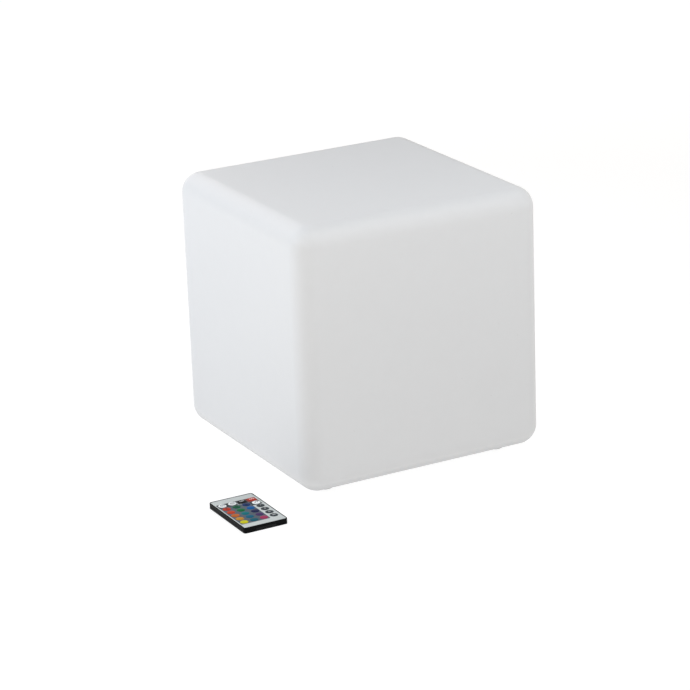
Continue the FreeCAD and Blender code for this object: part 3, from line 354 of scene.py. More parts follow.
soft_light("left_back_light", 150, 30, 1.4, 7.9, (0.79, 0.88, 1.0))
soft_light("left_front_light", 210, 30, 1.4, 6.4, (1.0, 0.98, 0.95))
soft_light("front_top_light", 300, 60, 1.4, 9.7, (0.91, 0.95, 1.0))
soft_light("right_front_light", 330, 20, 2.4, 8.5, (1.0, 0.93, 0.84))
soft_light("right_back_light", 30, 20, 2.4, 6.1, (1.0, 0.96, 0.80))
soft_light("back_light", 90, 20, 2.4, 19.4, (1.0, 0.90, 0.84))

# %% [markdown]
# ## The milky polyethylene
#
# The shell is rotationally moulded: powder melts against a hot mould, so the wall is a dense milky white
# with a faint mottle, a skin like very fine orange peel, and here and there a dark speck that burnt on to
# the mould. The plastic is matt, so its highlights are broad and weak. Along its lowest centimetre, where it
# turns down to the ground, it is painted a little greyer: a painted shade along its lower edge.

# %% Milky finishes
MILKY = (219, 219, 219)
FOOT_WHITE = (198, 198, 197)
SPECK = shade(150, 146, 140)
SPECK_SPACING = 11 * MM
SPECK_RADIUS = 0.32 * MM
BOTTOM_SHADE_TOP = 20.0
BOTTOM_SHADE_DEPTH = 9.0
BOTTOM_SHADE_GREY = 25


def milky_finish(name, colour, peel_depth):
    """Milky plastic with a mottle, a painted shade along its foot, a few specks and a skin of peel_depth
    metres.
    """
    milky = Finish(name, IOR=1.5, Specular_IOR_Level=0.3)
    mottle = milky.noise(12 * MM, 4.0, 0.6)
    cloud = milky.noise(70 * MM, 2.0)
    base = milky.blend((mottle * 0.7 + cloud * 0.3).clamped(), *around(colour, 2))
    height = milky.axes()[2]
    # Painted shade: over its lowest centimetre the milky colour turns greyer towards the ground.
    painted_bottom_shade = ((BOTTOM_SHADE_TOP - height) / BOTTOM_SHADE_DEPTH).clamped()
    base = milky.blend(painted_bottom_shade, base, shade(*[tone - BOTTOM_SHADE_GREY for tone in colour]))
    chosen = milky.noise(23 * MM, 0.0) > 0.62
    speck = milky.specks(SPECK_SPACING, SPECK_RADIUS) * chosen
    milky.paint(Base_Color=milky.blend(speck * 0.6, base, SPECK), Roughness=0.46 + mottle * 0.12)
    milky.bump(milky.noise(1.6 * MM) * 0.5 + milky.noise(9 * MM, 1.0) * 0.5, peel_depth)
    return milky.material


shell_finish = milky_finish("milky_shell", MILKY, 0.08 * MM)
foot_finish = milky_finish("milky_foot", FOOT_WHITE, 0.04 * MM)
print("made", shell_finish.name, "and", foot_finish.name)

# %% [markdown]
# ## Mouldings, films, metals and boards
#
# Most other surfaces are one of a few kinds. A moulding has a fine spark-eroded grain and a slightly uneven
# gloss. Rubber is the same with more grain and no shine. Turned and plated metal has brush lines and
# fingerprint clouds in its roughness. A circuit board is a lacquer over faint copper tracks.

# %% Families of finishes
def moulded(name, colour, roughness=0.45, grain=0.35 * MM, depth=0.012 * MM, spread=3, **fixed):
    """A moulding with a fine grain and an uneven gloss."""
    finish = Finish(name, IOR=1.5, **fixed)
    cloud = finish.noise(14 * MM, 3.0)
    finish.paint(Base_Color=finish.blend(cloud, *around(colour, spread)),
                 Roughness=(roughness - 0.06) + finish.noise(5 * MM) * 0.12)
    return finish.bump(finish.noise(grain, 2.0), depth).material


def metal(name, colour, roughness=0.3, brushed=(1.0, 1.0, 12.0)):
    """Bare or plated metal with brush lines across the axis that brushed stretches."""
    finish = Finish(name, Metallic=1.0)
    lines = finish.noise(1.5 * MM, 3.0, 0.6, brushed)
    cloud = finish.noise(6 * MM)
    finish.paint(Base_Color=finish.blend(cloud, *around(colour, 8)),
                 Roughness=(roughness - 0.08) + lines * 0.16)
    return finish.bump(lines, 0.004 * MM).material


TRACK_PITCH = 1.4
TRACK_SHARE = 0.45
WEAVE_RATE = 8.0


def board(name, colour, track_colour):
    """A lacquered circuit board with wandering tracks over a glass weave, in millimetres."""
    finish = Finish(name, IOR=1.5, Coat_Weight=0.4, Coat_Roughness=0.15)
    x, y = finish.axes()[:2]
    wave = finish.noise(9 * MM, 1.0) * 6.0
    across = ((x + wave) / TRACK_PITCH).maths("FRACT")
    track = (across < TRACK_SHARE) * (finish.noise(7 * MM, 0.0) > 0.5)
    weave = (x * WEAVE_RATE).maths("SINE") * (y * WEAVE_RATE).maths("SINE")
    finish.paint(Base_Color=finish.blend(track, around(colour, 2)[0], shade(*track_colour)),
                 Roughness=0.32 + weave * 0.04)
    return finish.bump(track * 0.6 + weave * 0.2, 0.03 * MM).material


print("families: moulded, metal, board")

# %% [markdown]
# ## LED packages
#
# Each package is a white square with a round window of yellow phosphor. The packages stand in two rings,
# so the window is drawn in ring coordinates: how far a point is from its ring, and how far round it is
# from the nearest package.

# %% LED package finish
CHIP_WIDTH = 5.0
INNER_RING = 22.0
OUTER_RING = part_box("led_chips")[1].x / MM - CHIP_WIDTH / 2
CHIP_STEP = math.tau / 12
WINDOW_RADIUS = 1.9


def led_finish():
    """White packages with yellow windows, in two rings."""
    finish = Finish("led_package", IOR=1.5)
    x, y = finish.axes()[:2]
    radius = (x * x + y * y).root()
    angle = y.maths("ARCTAN2", x)
    aside = ((angle / CHIP_STEP + 0.5).maths("FRACT") - 0.5) * CHIP_STEP * radius
    off_ring = (radius - OUTER_RING).size().smaller((radius - INNER_RING).size())
    window = (aside * aside + off_ring * off_ring) < WINDOW_RADIUS ** 2
    grain = finish.noise(0.4 * MM)
    phosphor = finish.blend(grain, *around((232, 206, 92), 8))
    finish.paint(Base_Color=finish.blend(window, shade(232, 232, 228), phosphor),
                 Roughness=0.5 - window * 0.25)
    return finish.bump(grain, 0.01 * MM).material


print("package rings:", INNER_RING, "and", round(OUTER_RING, 1), "mm")

# %% [markdown]
# ## A finish for every slot
#
# The record gives each CAD part a material slot, and here the slots get their finishes, also those of the
# parts that the shell hides. The film and the keys add theirs further down, each beside its own pieces.

# %% Finishes by slot
def clear_finish(name, colour, roughness):
    """Clear resin with a slightly cloudy tint."""
    finish = Finish(name, IOR=1.49, Transmission_Weight=0.9)
    finish.paint(Base_Color=finish.blend(finish.noise(2 * MM), *around(colour, 3)),
                 Roughness=roughness + finish.noise(1 * MM) * 0.05)
    return finish.bump(finish.noise(1.5 * MM), 0.01 * MM).material


finishes = {
    "shell": shell_finish,
    "brass_insert": metal("turned_brass", (214, 178, 108), 0.3),
    "seal": moulded("seal_rubber", (52, 52, 54), 0.75, 0.25 * MM, 0.02 * MM),
    "steel_screw": metal("zinc_plate", (190, 192, 196), 0.32),
    "module_plastic": moulded("module_moulding", (206, 207, 207), 0.5, 0.4 * MM, 0.02 * MM),
    "white_board": board("white_board", (226, 228, 226), (214, 217, 214)),
    "led_package": led_finish(),
    "receiver_resin": moulded("receiver_resin", (30, 22, 28), 0.2, 2.0 * MM, 0.002 * MM),
    "frosted_dome": moulded("frosted_dome", (236, 238, 238), 0.6, 0.3 * MM, 0.02 * MM, 2,
                            Transmission_Weight=0.35),
    "cell_sleeve": moulded("cell_sleeve", (44, 104, 150), 0.3, 6.0 * MM, 0.03 * MM),
    "black_plastic": moulded("black_moulding", (18, 19, 20), 0.45, Specular_IOR_Level=0.15),
    "green_board": board("green_board", (24, 92, 52), (44, 122, 70)),
    "component_resin": moulded("component_resin", (48, 48, 50), 0.55, 0.2 * MM),
    "lead_insulation": moulded("lead_insulation", (176, 34, 28), 0.35, 2.0 * MM),
    "plated_metal": metal("nickel_plate", (206, 204, 198), 0.22, (1.0, 1.0, 1.0)),
    "soft_cover": moulded("soft_cover", (150, 152, 154), 0.8, 0.3 * MM, 0.02 * MM),
    "button": moulded("button_cap", (224, 225, 226), 0.3),
    "remote_black": moulded("remote_case", (12, 13, 14), 0.42, 0.25 * MM, 0.006 * MM, 2,
                            Specular_IOR_Level=0.05),
    "clear_resin": clear_finish("clear_resin", (214, 218, 228), 0.06),
}
print("finishes:", len(finishes))

# %% [markdown]
# ## From a bmesh to a finished piece
#
# Every piece ends the same way: its mesh gets smooth faces with sharp edges where the surface really
# turns, and a material. The object itself stays at the origin, unturned, so that patterns and poses fit.

# %% Finish a piece
SHARP_ANGLE = math.radians(32)


def piece_from(mesh, name, body, material, node=None):
    """Turn a bmesh into an object that rides on a body and, where a node is given, stands for it."""
    for face in mesh.faces:
        face.smooth = True
    for edge in mesh.edges:
        edge.smooth = edge.calc_face_angle(0.0) < SHARP_ANGLE
    data = bpy.data.meshes.new(name)
    mesh.to_mesh(data)
    mesh.free()
    data.materials.append(material)
    piece = bpy.data.objects.new(name, data)
    bpy.context.scene.collection.objects.link(piece)
    if body:
        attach(piece, body)
    if node:
        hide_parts(node)
    return piece


def boxed(low, high):
    """A bmesh box between two corners."""
    mesh = bmesh.new()
    low, high = Vector(low), Vector(high)
    made = bmesh.ops.create_cube(mesh, size=1.0)
    bmesh.ops.scale(mesh, vec=high - low, verts=made["verts"])
    bmesh.ops.translate(mesh, vec=(high + low) / 2, verts=made["verts"])
    return mesh


def rounded_edges(mesh, edges, radius, segments):
    """Round edges of a bmesh with a bevel."""
    bmesh.ops.bevel(mesh, geom=list(edges), offset=radius, offset_type="OFFSET", segments=segments,
                    profile=0.5, affect="EDGES", clamp_overlap=True, material=-1)


print("edges stay sharp from", round(math.degrees(SHARP_ANGLE)), "degrees")

# %% [markdown]
# ## Turned pieces, and mouldings with softened edges
#
# A round piece is one outline spun about an upright axis. A moulding that the CAD model already shapes well
# only lacks the small roundings that every real edge has: a copy of its mesh is merged, its flat faces are
# made whole again, and its sharp edges get a narrow bevel, which catches the light.

# %% Spin an outline, and soften a CAD part
CAD_WELD = 1e-6
FLAT_ANGLE = math.radians(0.2)
LEAST_TURN = math.radians(28)


def spun(outline, centre=(0.0, 0.0), steps=64):
    """A closed turned shape from (radius, height) points, its first and last on the axis."""
    mesh = bmesh.new()
    corners = [mesh.verts.new((centre[0] + radius, centre[1], height)) for radius, height in outline]
    edges = [mesh.edges.new(pair) for pair in zip(corners, corners[1:])]
    bmesh.ops.spin(mesh, geom=corners + edges, cent=(centre[0], centre[1], 0.0), axis=(0.0, 0.0, 1.0),
                   angle=math.tau, steps=steps, use_merge=True)
    bmesh.ops.remove_doubles(mesh, verts=mesh.verts[:], dist=TINY)
    bmesh.ops.recalc_face_normals(mesh, faces=mesh.faces[:])
    return mesh


def arc(centre, radius, start, end, steps):
    """Points on an arc of an outline, from one angle to another in degrees."""
    for step in range(steps + 1):
        angle = math.radians(start + (end - start) * step / steps)
        yield centre[0] + radius * math.cos(angle), centre[1] + radius * math.sin(angle)


def merged(node):
    """A bmesh copy of a CAD part with its triangles joined into whole flat faces."""
    mesh = bmesh.new()
    mesh.from_mesh(frame["nodes"][node].data)
    bmesh.ops.remove_doubles(mesh, verts=mesh.verts[:], dist=CAD_WELD)
    bmesh.ops.dissolve_limit(mesh, angle_limit=FLAT_ANGLE, verts=mesh.verts[:], edges=mesh.edges[:])
    return mesh


def softened(node, name, body, material, width):
    """A CAD part's own shape, with a small rounding on each edge that turns by more than LEAST_TURN."""
    mesh = merged(node)
    sharp = [edge for edge in mesh.edges if edge.is_manifold and edge.calc_face_angle() > LEAST_TURN]
    rounded_edges(mesh, sharp, width, 2)
    bmesh.ops.remove_doubles(mesh, verts=mesh.verts[:], dist=TINY)
    open_edges = sum(not edge.is_manifold for edge in mesh.edges)
    print(name, "softened edges:", len(sharp), "faces:", len(mesh.faces), "open edges:", open_edges)
    return piece_from(mesh, name, body, material, node)


print("a quarter arc:", [(round(x, 2), round(y, 2)) for x, y in arc((0.0, 0.0), 1.0, 0, 90, 2)])

# %% [markdown]
# ## The shell
#
# A cube with all its edges rounded is one bevel. The flat faces then get a narrow inset, so that the
# shading stays flat right up to the rounding. The underside opens into the round recess that takes the
# light module, and the same surface goes on inside as the inner wall: the shell is a real 3 mm wall, not a
# block. The recess is made of rings of edges. Each is extruded from the one before and then moved to its
# own radius and height, the first from the outer wall's square opening, the last to the inner wall's.

# %% Shell walls
cube_low, cube_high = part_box("cube_shell")
gasket_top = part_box("base_gasket")[1]
seal_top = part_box("dome_seal")[1]
WALL = 3 * MM
EDGE_RADIUS = 23 * MM
EDGE_SEGMENTS = 20
FLAT_MARGIN = 2 * MM
RECESS_ROOM = 4 * MM
RECESS_RADIUS = gasket_top.x + RECESS_ROOM
RECESS_ROUNDING = 1.5 * MM
ROUNDING_STEPS = 5
MOUTH_ROOM = 2 * MM
MOUTH_RADIUS = seal_top.x + MOUTH_ROOM
CIRCLE_SIDES = 96
SIDE_AREA = 0.25
FLAT_AREA = 0.02
RING_WELD = 1e-5
QUARTER = math.pi / 2


def shell_wall(low, high, radius, inward):
    """A rounded box with an opening in its underside."""
    mesh = boxed(low, high)
    rounded_edges(mesh, mesh.edges, radius, EDGE_SEGMENTS)
    least_side = SIDE_AREA * (high.x - low.x) ** 2
    for side in [face for face in mesh.faces if face.calc_area() > least_side]:
        bmesh.ops.inset_individual(mesh, faces=[side], thickness=FLAT_MARGIN, use_even_offset=True)
    flat = [face for face in mesh.faces if face.calc_area() > FLAT_AREA]
    bmesh.ops.delete(mesh, geom=[min(flat, key=lambda face: face.calc_center_median().z)],
                     context="FACES_ONLY")
    rim = [edge for edge in mesh.edges if edge.is_boundary]
    bmesh.ops.subdivide_edges(mesh, edges=rim, cuts=CIRCLE_SIDES // 4 - 1, use_grid_fill=False)
    if inward:
        bmesh.ops.reverse_faces(mesh, faces=mesh.faces[:])
    return mesh


def side_of(vert):
    """A point's angle about the axis, and the angle of the side of a square that it faces."""
    angle = math.atan2(vert.co.y, vert.co.x)
    return angle, round(angle / QUARTER) * QUARTER


def next_ring(mesh, ring):
    """Extrude a ring of edges in place. Returns the new edges and their points."""
    made = bmesh.ops.extrude_edge_only(mesh, edges=ring)["geom"]
    edges = [item for item in made if isinstance(item, bmesh.types.BMEdge)]
    return edges, {vert for edge in edges for vert in edge.verts}


walls = shell_wall(cube_low, cube_high, EDGE_RADIUS, False)
outer_rim = [edge for edge in walls.edges if edge.is_boundary]
inset = Vector((WALL, WALL, WALL))
inner = shell_wall(cube_low + inset, cube_high - inset, EDGE_RADIUS - WALL, True)
inner_data = bpy.data.meshes.new("inner_wall")
inner.to_mesh(inner_data)
inner.free()
walls.from_mesh(inner_data)
bpy.data.meshes.remove(inner_data)

underside = cube_low.z
ceiling = gasket_top.z
rounding = (RECESS_RADIUS + RECESS_ROUNDING, underside + RECESS_ROUNDING)
rings = list(arc(rounding, RECESS_ROUNDING, 270, 180, ROUNDING_STEPS))
rings += [(RECESS_RADIUS, ceiling), (MOUTH_RADIUS, ceiling), (MOUTH_RADIUS, ceiling + WALL),
          (RECESS_RADIUS + WALL, ceiling + WALL), (RECESS_RADIUS + WALL, underside + WALL)]
ring = outer_rim
for radius, level in rings:
    from_square = ring is outer_rim
    ring, points = next_ring(walls, ring)
    for vert in points:
        angle, side = side_of(vert)
        if from_square:
            angle = side + math.tan(angle - side) * QUARTER / 2
        vert.co = (radius * math.cos(angle), radius * math.sin(angle), level)
ring, points = next_ring(walls, ring)
half = cube_high.x - EDGE_RADIUS - FLAT_MARGIN
for vert in points:
    angle, side = side_of(vert)
    along = (angle - side) / (QUARTER / 2)
    vert.co = Matrix.Rotation(side, 3, "Z") @ Vector((half, half * along, underside + WALL))
bmesh.ops.remove_doubles(walls, verts=walls.verts[:], dist=RING_WELD)
bmesh.ops.recalc_face_normals(walls, faces=walls.faces[:])
print("shell faces:", len(walls.faces), "open edges:", sum(edge.is_boundary for edge in walls.edges))

# %% [markdown]
# ## Bosses and holes in the shell
#
# Six blind bosses stand on the platform inside the shell and take the brass inserts of the module's screws,
# and each foot has a hole for its stem. Round holes would be hard to work into the rings of the wall by
# hand, so they are cut and added with the Boolean modifier, which is then applied.

# %% Carve the shell
insert_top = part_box("insert_nuts")[1]
foot_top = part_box("foot_pads")[1]
INSERT_RADIUS = 3.5 * MM
BOSS_WALL = 2.5 * MM
BOSS_CAP = 3.0 * MM
FOOT_RADIUS = 10.5 * MM
STEM_RADIUS = 3.0 * MM
FIT_GAP = 0.03 * MM
SEAT_ROOM = 0.3 * MM
BORE_SIDES = 40


def cutter(name, places, radius, low, high):
    """Upright cylinders at several places, as one object for a Boolean modifier."""
    mesh = bmesh.new()
    for x, y in places:
        made = bmesh.ops.create_cone(mesh, cap_ends=True, segments=BORE_SIDES, radius1=radius,
                                     radius2=radius, depth=high - low)
        bmesh.ops.translate(mesh, vec=(x, y, (low + high) / 2), verts=made["verts"])
    return piece_from(mesh, name, None, shell_finish)


def carved(piece, steps):
    """Apply Boolean steps, each an operation and a cutter, and return the new mesh as a bmesh."""
    for operation, tool in steps:
        modifier = piece.modifiers.new(tool.name, "BOOLEAN")
        modifier.operation = operation
        modifier.object = tool
        modifier.solver = "EXACT"
    bpy.context.view_layer.update()
    data = bpy.data.meshes.new_from_object(piece.evaluated_get(bpy.context.evaluated_depsgraph_get()))
    mesh = bmesh.new()
    mesh.from_mesh(data)
    for thing in [piece] + [tool for operation, tool in steps]:
        bpy.data.objects.remove(thing)
    bpy.data.meshes.remove(data)
    bmesh.ops.remove_doubles(mesh, verts=mesh.verts[:], dist=TINY)
    return mesh


screw_ring = insert_top.x - INSERT_RADIUS
seat_top = insert_top.z + SEAT_ROOM
turns = [math.tau * number / 6 for number in range(6)]
screw_places = [(screw_ring * math.cos(turn), screw_ring * math.sin(turn)) for turn in turns]
foot_places = [(side * (foot_top.x - FOOT_RADIUS), end * (foot_top.y - FOOT_RADIUS))
               for side in (-1, 1) for end in (-1, 1)]
boss_radius = INSERT_RADIUS + BOSS_WALL
seat_radius = INSERT_RADIUS + FIT_GAP
stem_hole_radius = STEM_RADIUS + FIT_GAP
blank = piece_from(walls, "shell_blank", None, shell_finish)
shell_mesh = carved(blank, [
    ("UNION", cutter("bosses", screw_places, boss_radius, ceiling + WALL / 2, seat_top + BOSS_CAP)),
    ("DIFFERENCE", cutter("insert_seats", screw_places, seat_radius, ceiling - WALL, seat_top)),
    ("DIFFERENCE", cutter("stem_holes", foot_places, stem_hole_radius, underside - WALL,
                          underside + 1.5 * WALL)),
])
print("carved shell faces:", len(shell_mesh.faces),
      "open edges:", sum(not edge.is_manifold for edge in shell_mesh.edges))
piece_from(shell_mesh, "milky_cube_shell", "lamp", shell_finish, "cube_shell")

# %% [markdown]
# ## The feet
#
# Each foot is a round plug. Its rim is rounded so that it slides over a lawn, its underside is dished so
# that it stands on a ring, and its stem is pushed into a hole in the shell. One outline, spun four times and
# joined, stands for the CAD model's four feet.

# %% Feet
FOOT_ROUNDING = 1.6 * MM
DISH_DEPTH = 0.6 * MM
DISH_RADIUS = 4.5 * MM
DISH_LIP = (5.6 * MM, 0.12 * MM)
STANDING_RADIUS = 6.2 * MM
TOP_ROUNDING = 0.4 * MM
TOP_GAP = 0.05 * MM
STEM_CHAMFER = 0.5 * MM
FOOT_SIDES = 72


def foot(x, y):
    """One foot with its stem, standing at a place."""
    foot_face = underside - TOP_GAP
    outline = [(0.0, DISH_DEPTH), (DISH_RADIUS, DISH_DEPTH), DISH_LIP, (STANDING_RADIUS, 0.0)]
    outline += arc((FOOT_RADIUS - FOOT_ROUNDING, FOOT_ROUNDING), FOOT_ROUNDING, -90, 0, 8)
    outline += arc((FOOT_RADIUS - TOP_ROUNDING, foot_face - TOP_ROUNDING), TOP_ROUNDING, 0, 90, 4)
    outline += [(STEM_RADIUS, foot_face), (STEM_RADIUS, foot_top.z - STEM_CHAMFER),
                (STEM_RADIUS - STEM_CHAMFER, foot_top.z), (0.0, foot_top.z)]
    return spun(outline, (x, y), FOOT_SIDES)


def joined(meshes):
    """Several closed meshes as one."""
    whole = bmesh.new()
    for mesh in meshes:
        data = bpy.data.meshes.new("part")
        mesh.to_mesh(data)
        mesh.free()
        whole.from_mesh(data)
        bpy.data.meshes.remove(data)
    return whole


foot_mesh = joined(foot(x, y) for x, y in foot_places)
piece_from(foot_mesh, "milky_feet", "lamp", foot_finish, "foot_pads")
print("feet at", [(round(x / MM), round(y / MM)) for x, y in foot_places])

# %% [markdown]
# ## The light module and its fittings
#
# The parts on the underside and on the two boards keep the CAD model's shapes and get the small roundings
# that moulding, stamping and turning leave on real edges. A rounding this small is never looked at for
# itself, but without it an edge has no highlight and looks cut from paper.

# %% Softened parts of the lamp
LAMP_PARTS = {
    "module_housing": ("module_case", 0.5 * MM),
    "base_gasket": ("flange_gasket", 0.2 * MM),
    "base_screws": ("flange_screws", 0.15 * MM),
    "insert_nuts": ("brass_inserts", 0.1 * MM),
    "charge_jack": ("charging_socket", 0.2 * MM),
    "jack_nut": ("socket_nut", 0.15 * MM),
    "switch_body": ("switch_barrel", 0.15 * MM),
    "switch_nut": ("barrel_nut", 0.15 * MM),
    "cover_anchor": ("strap_anchor", 0.25 * MM),
    "battery_cradle": ("cell_cradle", 0.25 * MM),
    "control_components": ("control_parts", 0.12 * MM),
}
for node, (name, width) in LAMP_PARTS.items():
    softened(node, name, "lamp", finishes[slot_of[node]], width)
softened("socket_cover", "dust_cover", "cover", finishes["soft_cover"], 0.2 * MM)
softened("power_button", "push_button", "button", finishes["button"], 0.4 * MM)

# %% [markdown]
# ## The cover's strap
#
# The dust cover hangs on a soft strap that bends like a living hinge. The strap is one strip across the
# joint, divided along its length.

# %% Strap
anchor_low, anchor_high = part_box("cover_anchor")
STRAP_HALF_WIDTH = 2.4 * MM
STRAP_FACES = (8.25 * MM, 8.85 * MM)
STRAP_ON_ANCHOR = 1.6 * MM
STRAP_ON_COVER = 1.0 * MM
STRAP_SEGMENTS = 8
HINGE_X = -27.55 * MM
hinge_y = (anchor_low.y + anchor_high.y) / 2
strap_low = Vector((HINGE_X - STRAP_ON_ANCHOR, hinge_y - STRAP_HALF_WIDTH, STRAP_FACES[0]))
strap_high = Vector((HINGE_X + STRAP_ON_COVER, hinge_y + STRAP_HALF_WIDTH, STRAP_FACES[1]))
strap = boxed(strap_low, strap_high)
long_edges = [edge for edge in strap.edges if abs(edge.verts[0].co.x - edge.verts[1].co.x) > 1 * MM]
bmesh.ops.subdivide_edges(strap, edges=long_edges, cuts=STRAP_SEGMENTS - 1, use_grid_fill=True)
strap_piece = piece_from(strap, "cover_strap", None, finishes["soft_cover"])
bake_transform(strap_piece)
print("strap from", [round(value / MM, 2) for value in strap_low])

# %% [markdown]
# ## The remote control's case
#
# Two black mouldings, snapped together round the board, with rims softened to about a third of a
# millimetre. The battery tray slides out of the near end.

# %% Remote case
softened("remote_bottom_case", "remote_back", "remote_control", finishes["remote_black"], 0.3 * MM)
softened("remote_top_frame", "remote_rim", "remote_control", finishes["remote_black"], 0.25 * MM)
softened("battery_tray", "coin_tray", "tray", finishes["black_plastic"], 0.15 * MM)
softened("coin_cell", "lithium_cell", "tray", finishes["plated_metal"], 0.15 * MM)

# %% [markdown]
# ## The printed film
#
# The film over the keys is printed from behind: a silver border, a slate field whose lower half leaves the
# silver showing on the right, and darker cells in the top row. The print is drawn with masks: each is a
# rounded rectangle in millimetres from the remote's centre.

# %% Printed overlay
remote_low, remote_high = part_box("remote_bottom_case")
remote_centre = (remote_low + remote_high) / 2
CELL_GREY = (45, 50, 52)
GAP_SILVER = (186, 192, 193)
PRINT_EDGE = 0.08
CELL_CORNER = 0.35
FIELD_CORNER = 1.5
SLATE_FIELDS = (((-23.6, -32.0), (10.9, 30.7)), ((0.0, 9.8), (22.6, 30.7)))
PRINTED_CELLS = (
    ((-23.4, 20.4), (-1.5, 30.6), CELL_GREY),
    ((-1.5, 19.7), (-0.7, 30.6), GAP_SILVER),
    ((-0.7, 19.7), (2.6, 20.4), GAP_SILVER),
    ((-0.7, 20.4), (10.8, 30.6), (24, 26, 27)),
    ((11.1, 20.4), (22.5, 30.6), (128, 40, 30)),
    ((11.1, 10.0), (22.5, 19.7), CELL_GREY),
)


def printed_film():
    """The overlay's print, one mask over another."""
    film = Finish("printed_film", IOR=1.5, Specular_IOR_Level=0.08)
    x, y = film.axes(remote_centre)[:2]

    def panel(low, high, corner):
        """One inside a rounded rectangle, with soft printed edges."""
        across = (x - (low[0] + high[0]) / 2).size() - ((high[0] - low[0]) / 2 - corner)
        along = (y - (low[1] + high[1]) / 2).size() - ((high[1] - low[1]) / 2 - corner)
        across, along = across.larger(0.0), along.larger(0.0)
        distance = (across * across + along * along).root() - corner
        return (0.5 - distance / PRINT_EDGE).clamped()

    grain = film.noise(0.25 * MM)
    cloud = film.noise(9 * MM)
    silver = film.blend(cloud, *around((190, 195, 193), 3))
    slate = film.blend(cloud, *around((76, 86, 96), 3))
    fields = [panel(low, high, FIELD_CORNER) for low, high in SLATE_FIELDS]
    colour = film.blend(fields[0].larger(fields[1]), silver, slate)
    for low, high, print_colour in PRINTED_CELLS:
        colour = film.blend(panel(low, high, CELL_CORNER), colour, shade(*print_colour))
    film.paint(Base_Color=colour, Roughness=0.34 + cloud * 0.1)
    return film.bump(grain, 0.006 * MM).material


finishes["overlay_film"] = printed_film()
print("film centre", [round(value / MM, 1) for value in remote_centre])

# %% [markdown]
# ## Keys
#
# Each key is a shallow dome that stands through a hole in the film. The domes are spun: a flange that the
# film holds down, a wall through the hole, and a low crown.

# %% Keys
KEY_COLOURS = {
    "key_brighter": (225, 228, 228), "key_dimmer": (225, 228, 228),
    "key_off": (18, 20, 22), "key_on": (176, 48, 30),
    "key_red": (172, 48, 24), "key_green": (0, 84, 56), "key_blue": (20, 46, 94),
    "key_white": (235, 238, 238),
    "key_scarlet": (178, 54, 20), "key_leaf_green": (0, 100, 54), "key_sky_blue": (0, 84, 146),
    "key_orange": (174, 90, 32), "key_turquoise": (0, 102, 112), "key_navy": (24, 30, 72),
    "key_amber": (178, 124, 36), "key_lagoon": (0, 88, 116), "key_purple": (64, 44, 90),
    "key_yellow": (190, 184, 20), "key_dark_teal": (0, 82, 98), "key_magenta": (152, 46, 84),
    "key_effect_one": (55, 62, 65), "key_effect_two": (55, 62, 65), "key_effect_three": (55, 62, 65),
    "key_effect_four": (55, 62, 65),
}
FLANGE_WIDTH = 0.4 * MM
FLANGE_HEIGHT = 0.4 * MM
FLANGE_CHAMFER = 0.08 * MM
SHOULDER_WIDTH = 0.06 * MM
SHOULDER_HEIGHT = 0.15 * MM
CROWN = 0.40 * MM
CROWN_ROOM = 0.05 * MM
CROWN_STEPS = 10
KEY_SIDES = 40
PRINT_SHEEN = 0.05


def crown_drop(share):
    """How far the crown lies under its middle, at a share of the crown's radius."""
    return CROWN * share ** 2.5


def key_dome(low, high):
    """A key that fills the box between two corners, but for the room that its mark needs."""
    flange = (high.x - low.x) / 2
    radius = flange - FLANGE_WIDTH
    crown_radius = radius - SHOULDER_WIDTH
    flange_top = low.z + FLANGE_HEIGHT
    top = high.z - CROWN_ROOM
    shoulder = top - CROWN
    outline = [(0.0, low.z), (flange - FLANGE_CHAMFER, low.z), (flange, low.z + FLANGE_CHAMFER),
               (flange, flange_top), (radius, flange_top), (radius, shoulder - SHOULDER_HEIGHT),
               (crown_radius, shoulder)]
    for step in range(CROWN_STEPS - 1, -1, -1):
        share = step / CROWN_STEPS
        outline.append((crown_radius * share, top - crown_drop(share)))
    middle = (low + high) / 2
    return spun(outline, (middle.x, middle.y), KEY_SIDES)


for node, colour in KEY_COLOURS.items():
    finish = moulded(node + "_finish", colour, 0.4, 0.25 * MM, 0.006 * MM,
                     Specular_IOR_Level=PRINT_SHEEN)
    piece_from(key_dome(*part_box(node)), node + "_dome", node, finish, node)
    finishes[slot_of[node]] = finish
print("keys:", len(KEY_COLOURS))

# %% [markdown]
# ## Marks on the keys
#
# The marks are printed in thin ink, so each is a flat shape a few hundredths of a millimetre thick that
# follows the key's crown. Its long edges are halved first, or they would cut through the dome. Words are
# text turned into a mesh. The brightness marks are a ring with a chevron up or down, and the effect keys
# count their programs with short bars. A mark rides on its key. Sizes here are in millimetres until the mark
# is laid on its key.

# %% Ink marks
INK_PROUD = 0.04 * MM
INK_SUNK = 0.06 * MM
LONGEST_INK_EDGE = 0.45
HALVINGS = 3
MARK_WELD = 1e-4
LETTER_SCALE = 1.4
LETTER_BOLDNESS = 0.02
RING = (1.85, 2.4)
RING_SIDES = 32
CHEVRON_ARM = (1.5, 0.5)
CHEVRON_HALF_SPAN = 0.5
CHEVRON_TURN = 40
COUNT_BAR = (0.42, 1.9)
COUNT_PITCH = 0.9


def ink(name, colour):
    """Matt printing ink with a slight grain."""
    finish = Finish(name, Specular_IOR_Level=PRINT_SHEEN)
    grain = finish.noise(0.3 * MM)
    finish.paint(Base_Color=finish.blend(grain, *around(colour, 4)), Roughness=0.5 + grain * 0.1)
    return finish.bump(grain, 0.003 * MM).material


dark_ink = ink("dark_ink", (38, 40, 42))
light_ink = ink("light_ink", (212, 214, 214))


def bar(mesh, centre, size, turn=0.0):
    """A flat rectangle, in millimetres on the key's face."""
    made = bmesh.ops.create_grid(mesh, x_segments=2, y_segments=1, size=0.5)
    bmesh.ops.scale(mesh, vec=(size[0], size[1], 1.0), verts=made["verts"])
    bmesh.ops.rotate(mesh, matrix=Matrix.Rotation(math.radians(turn), 3, "Z"), verts=made["verts"])
    bmesh.ops.translate(mesh, vec=(centre[0], centre[1], 0.0), verts=made["verts"])


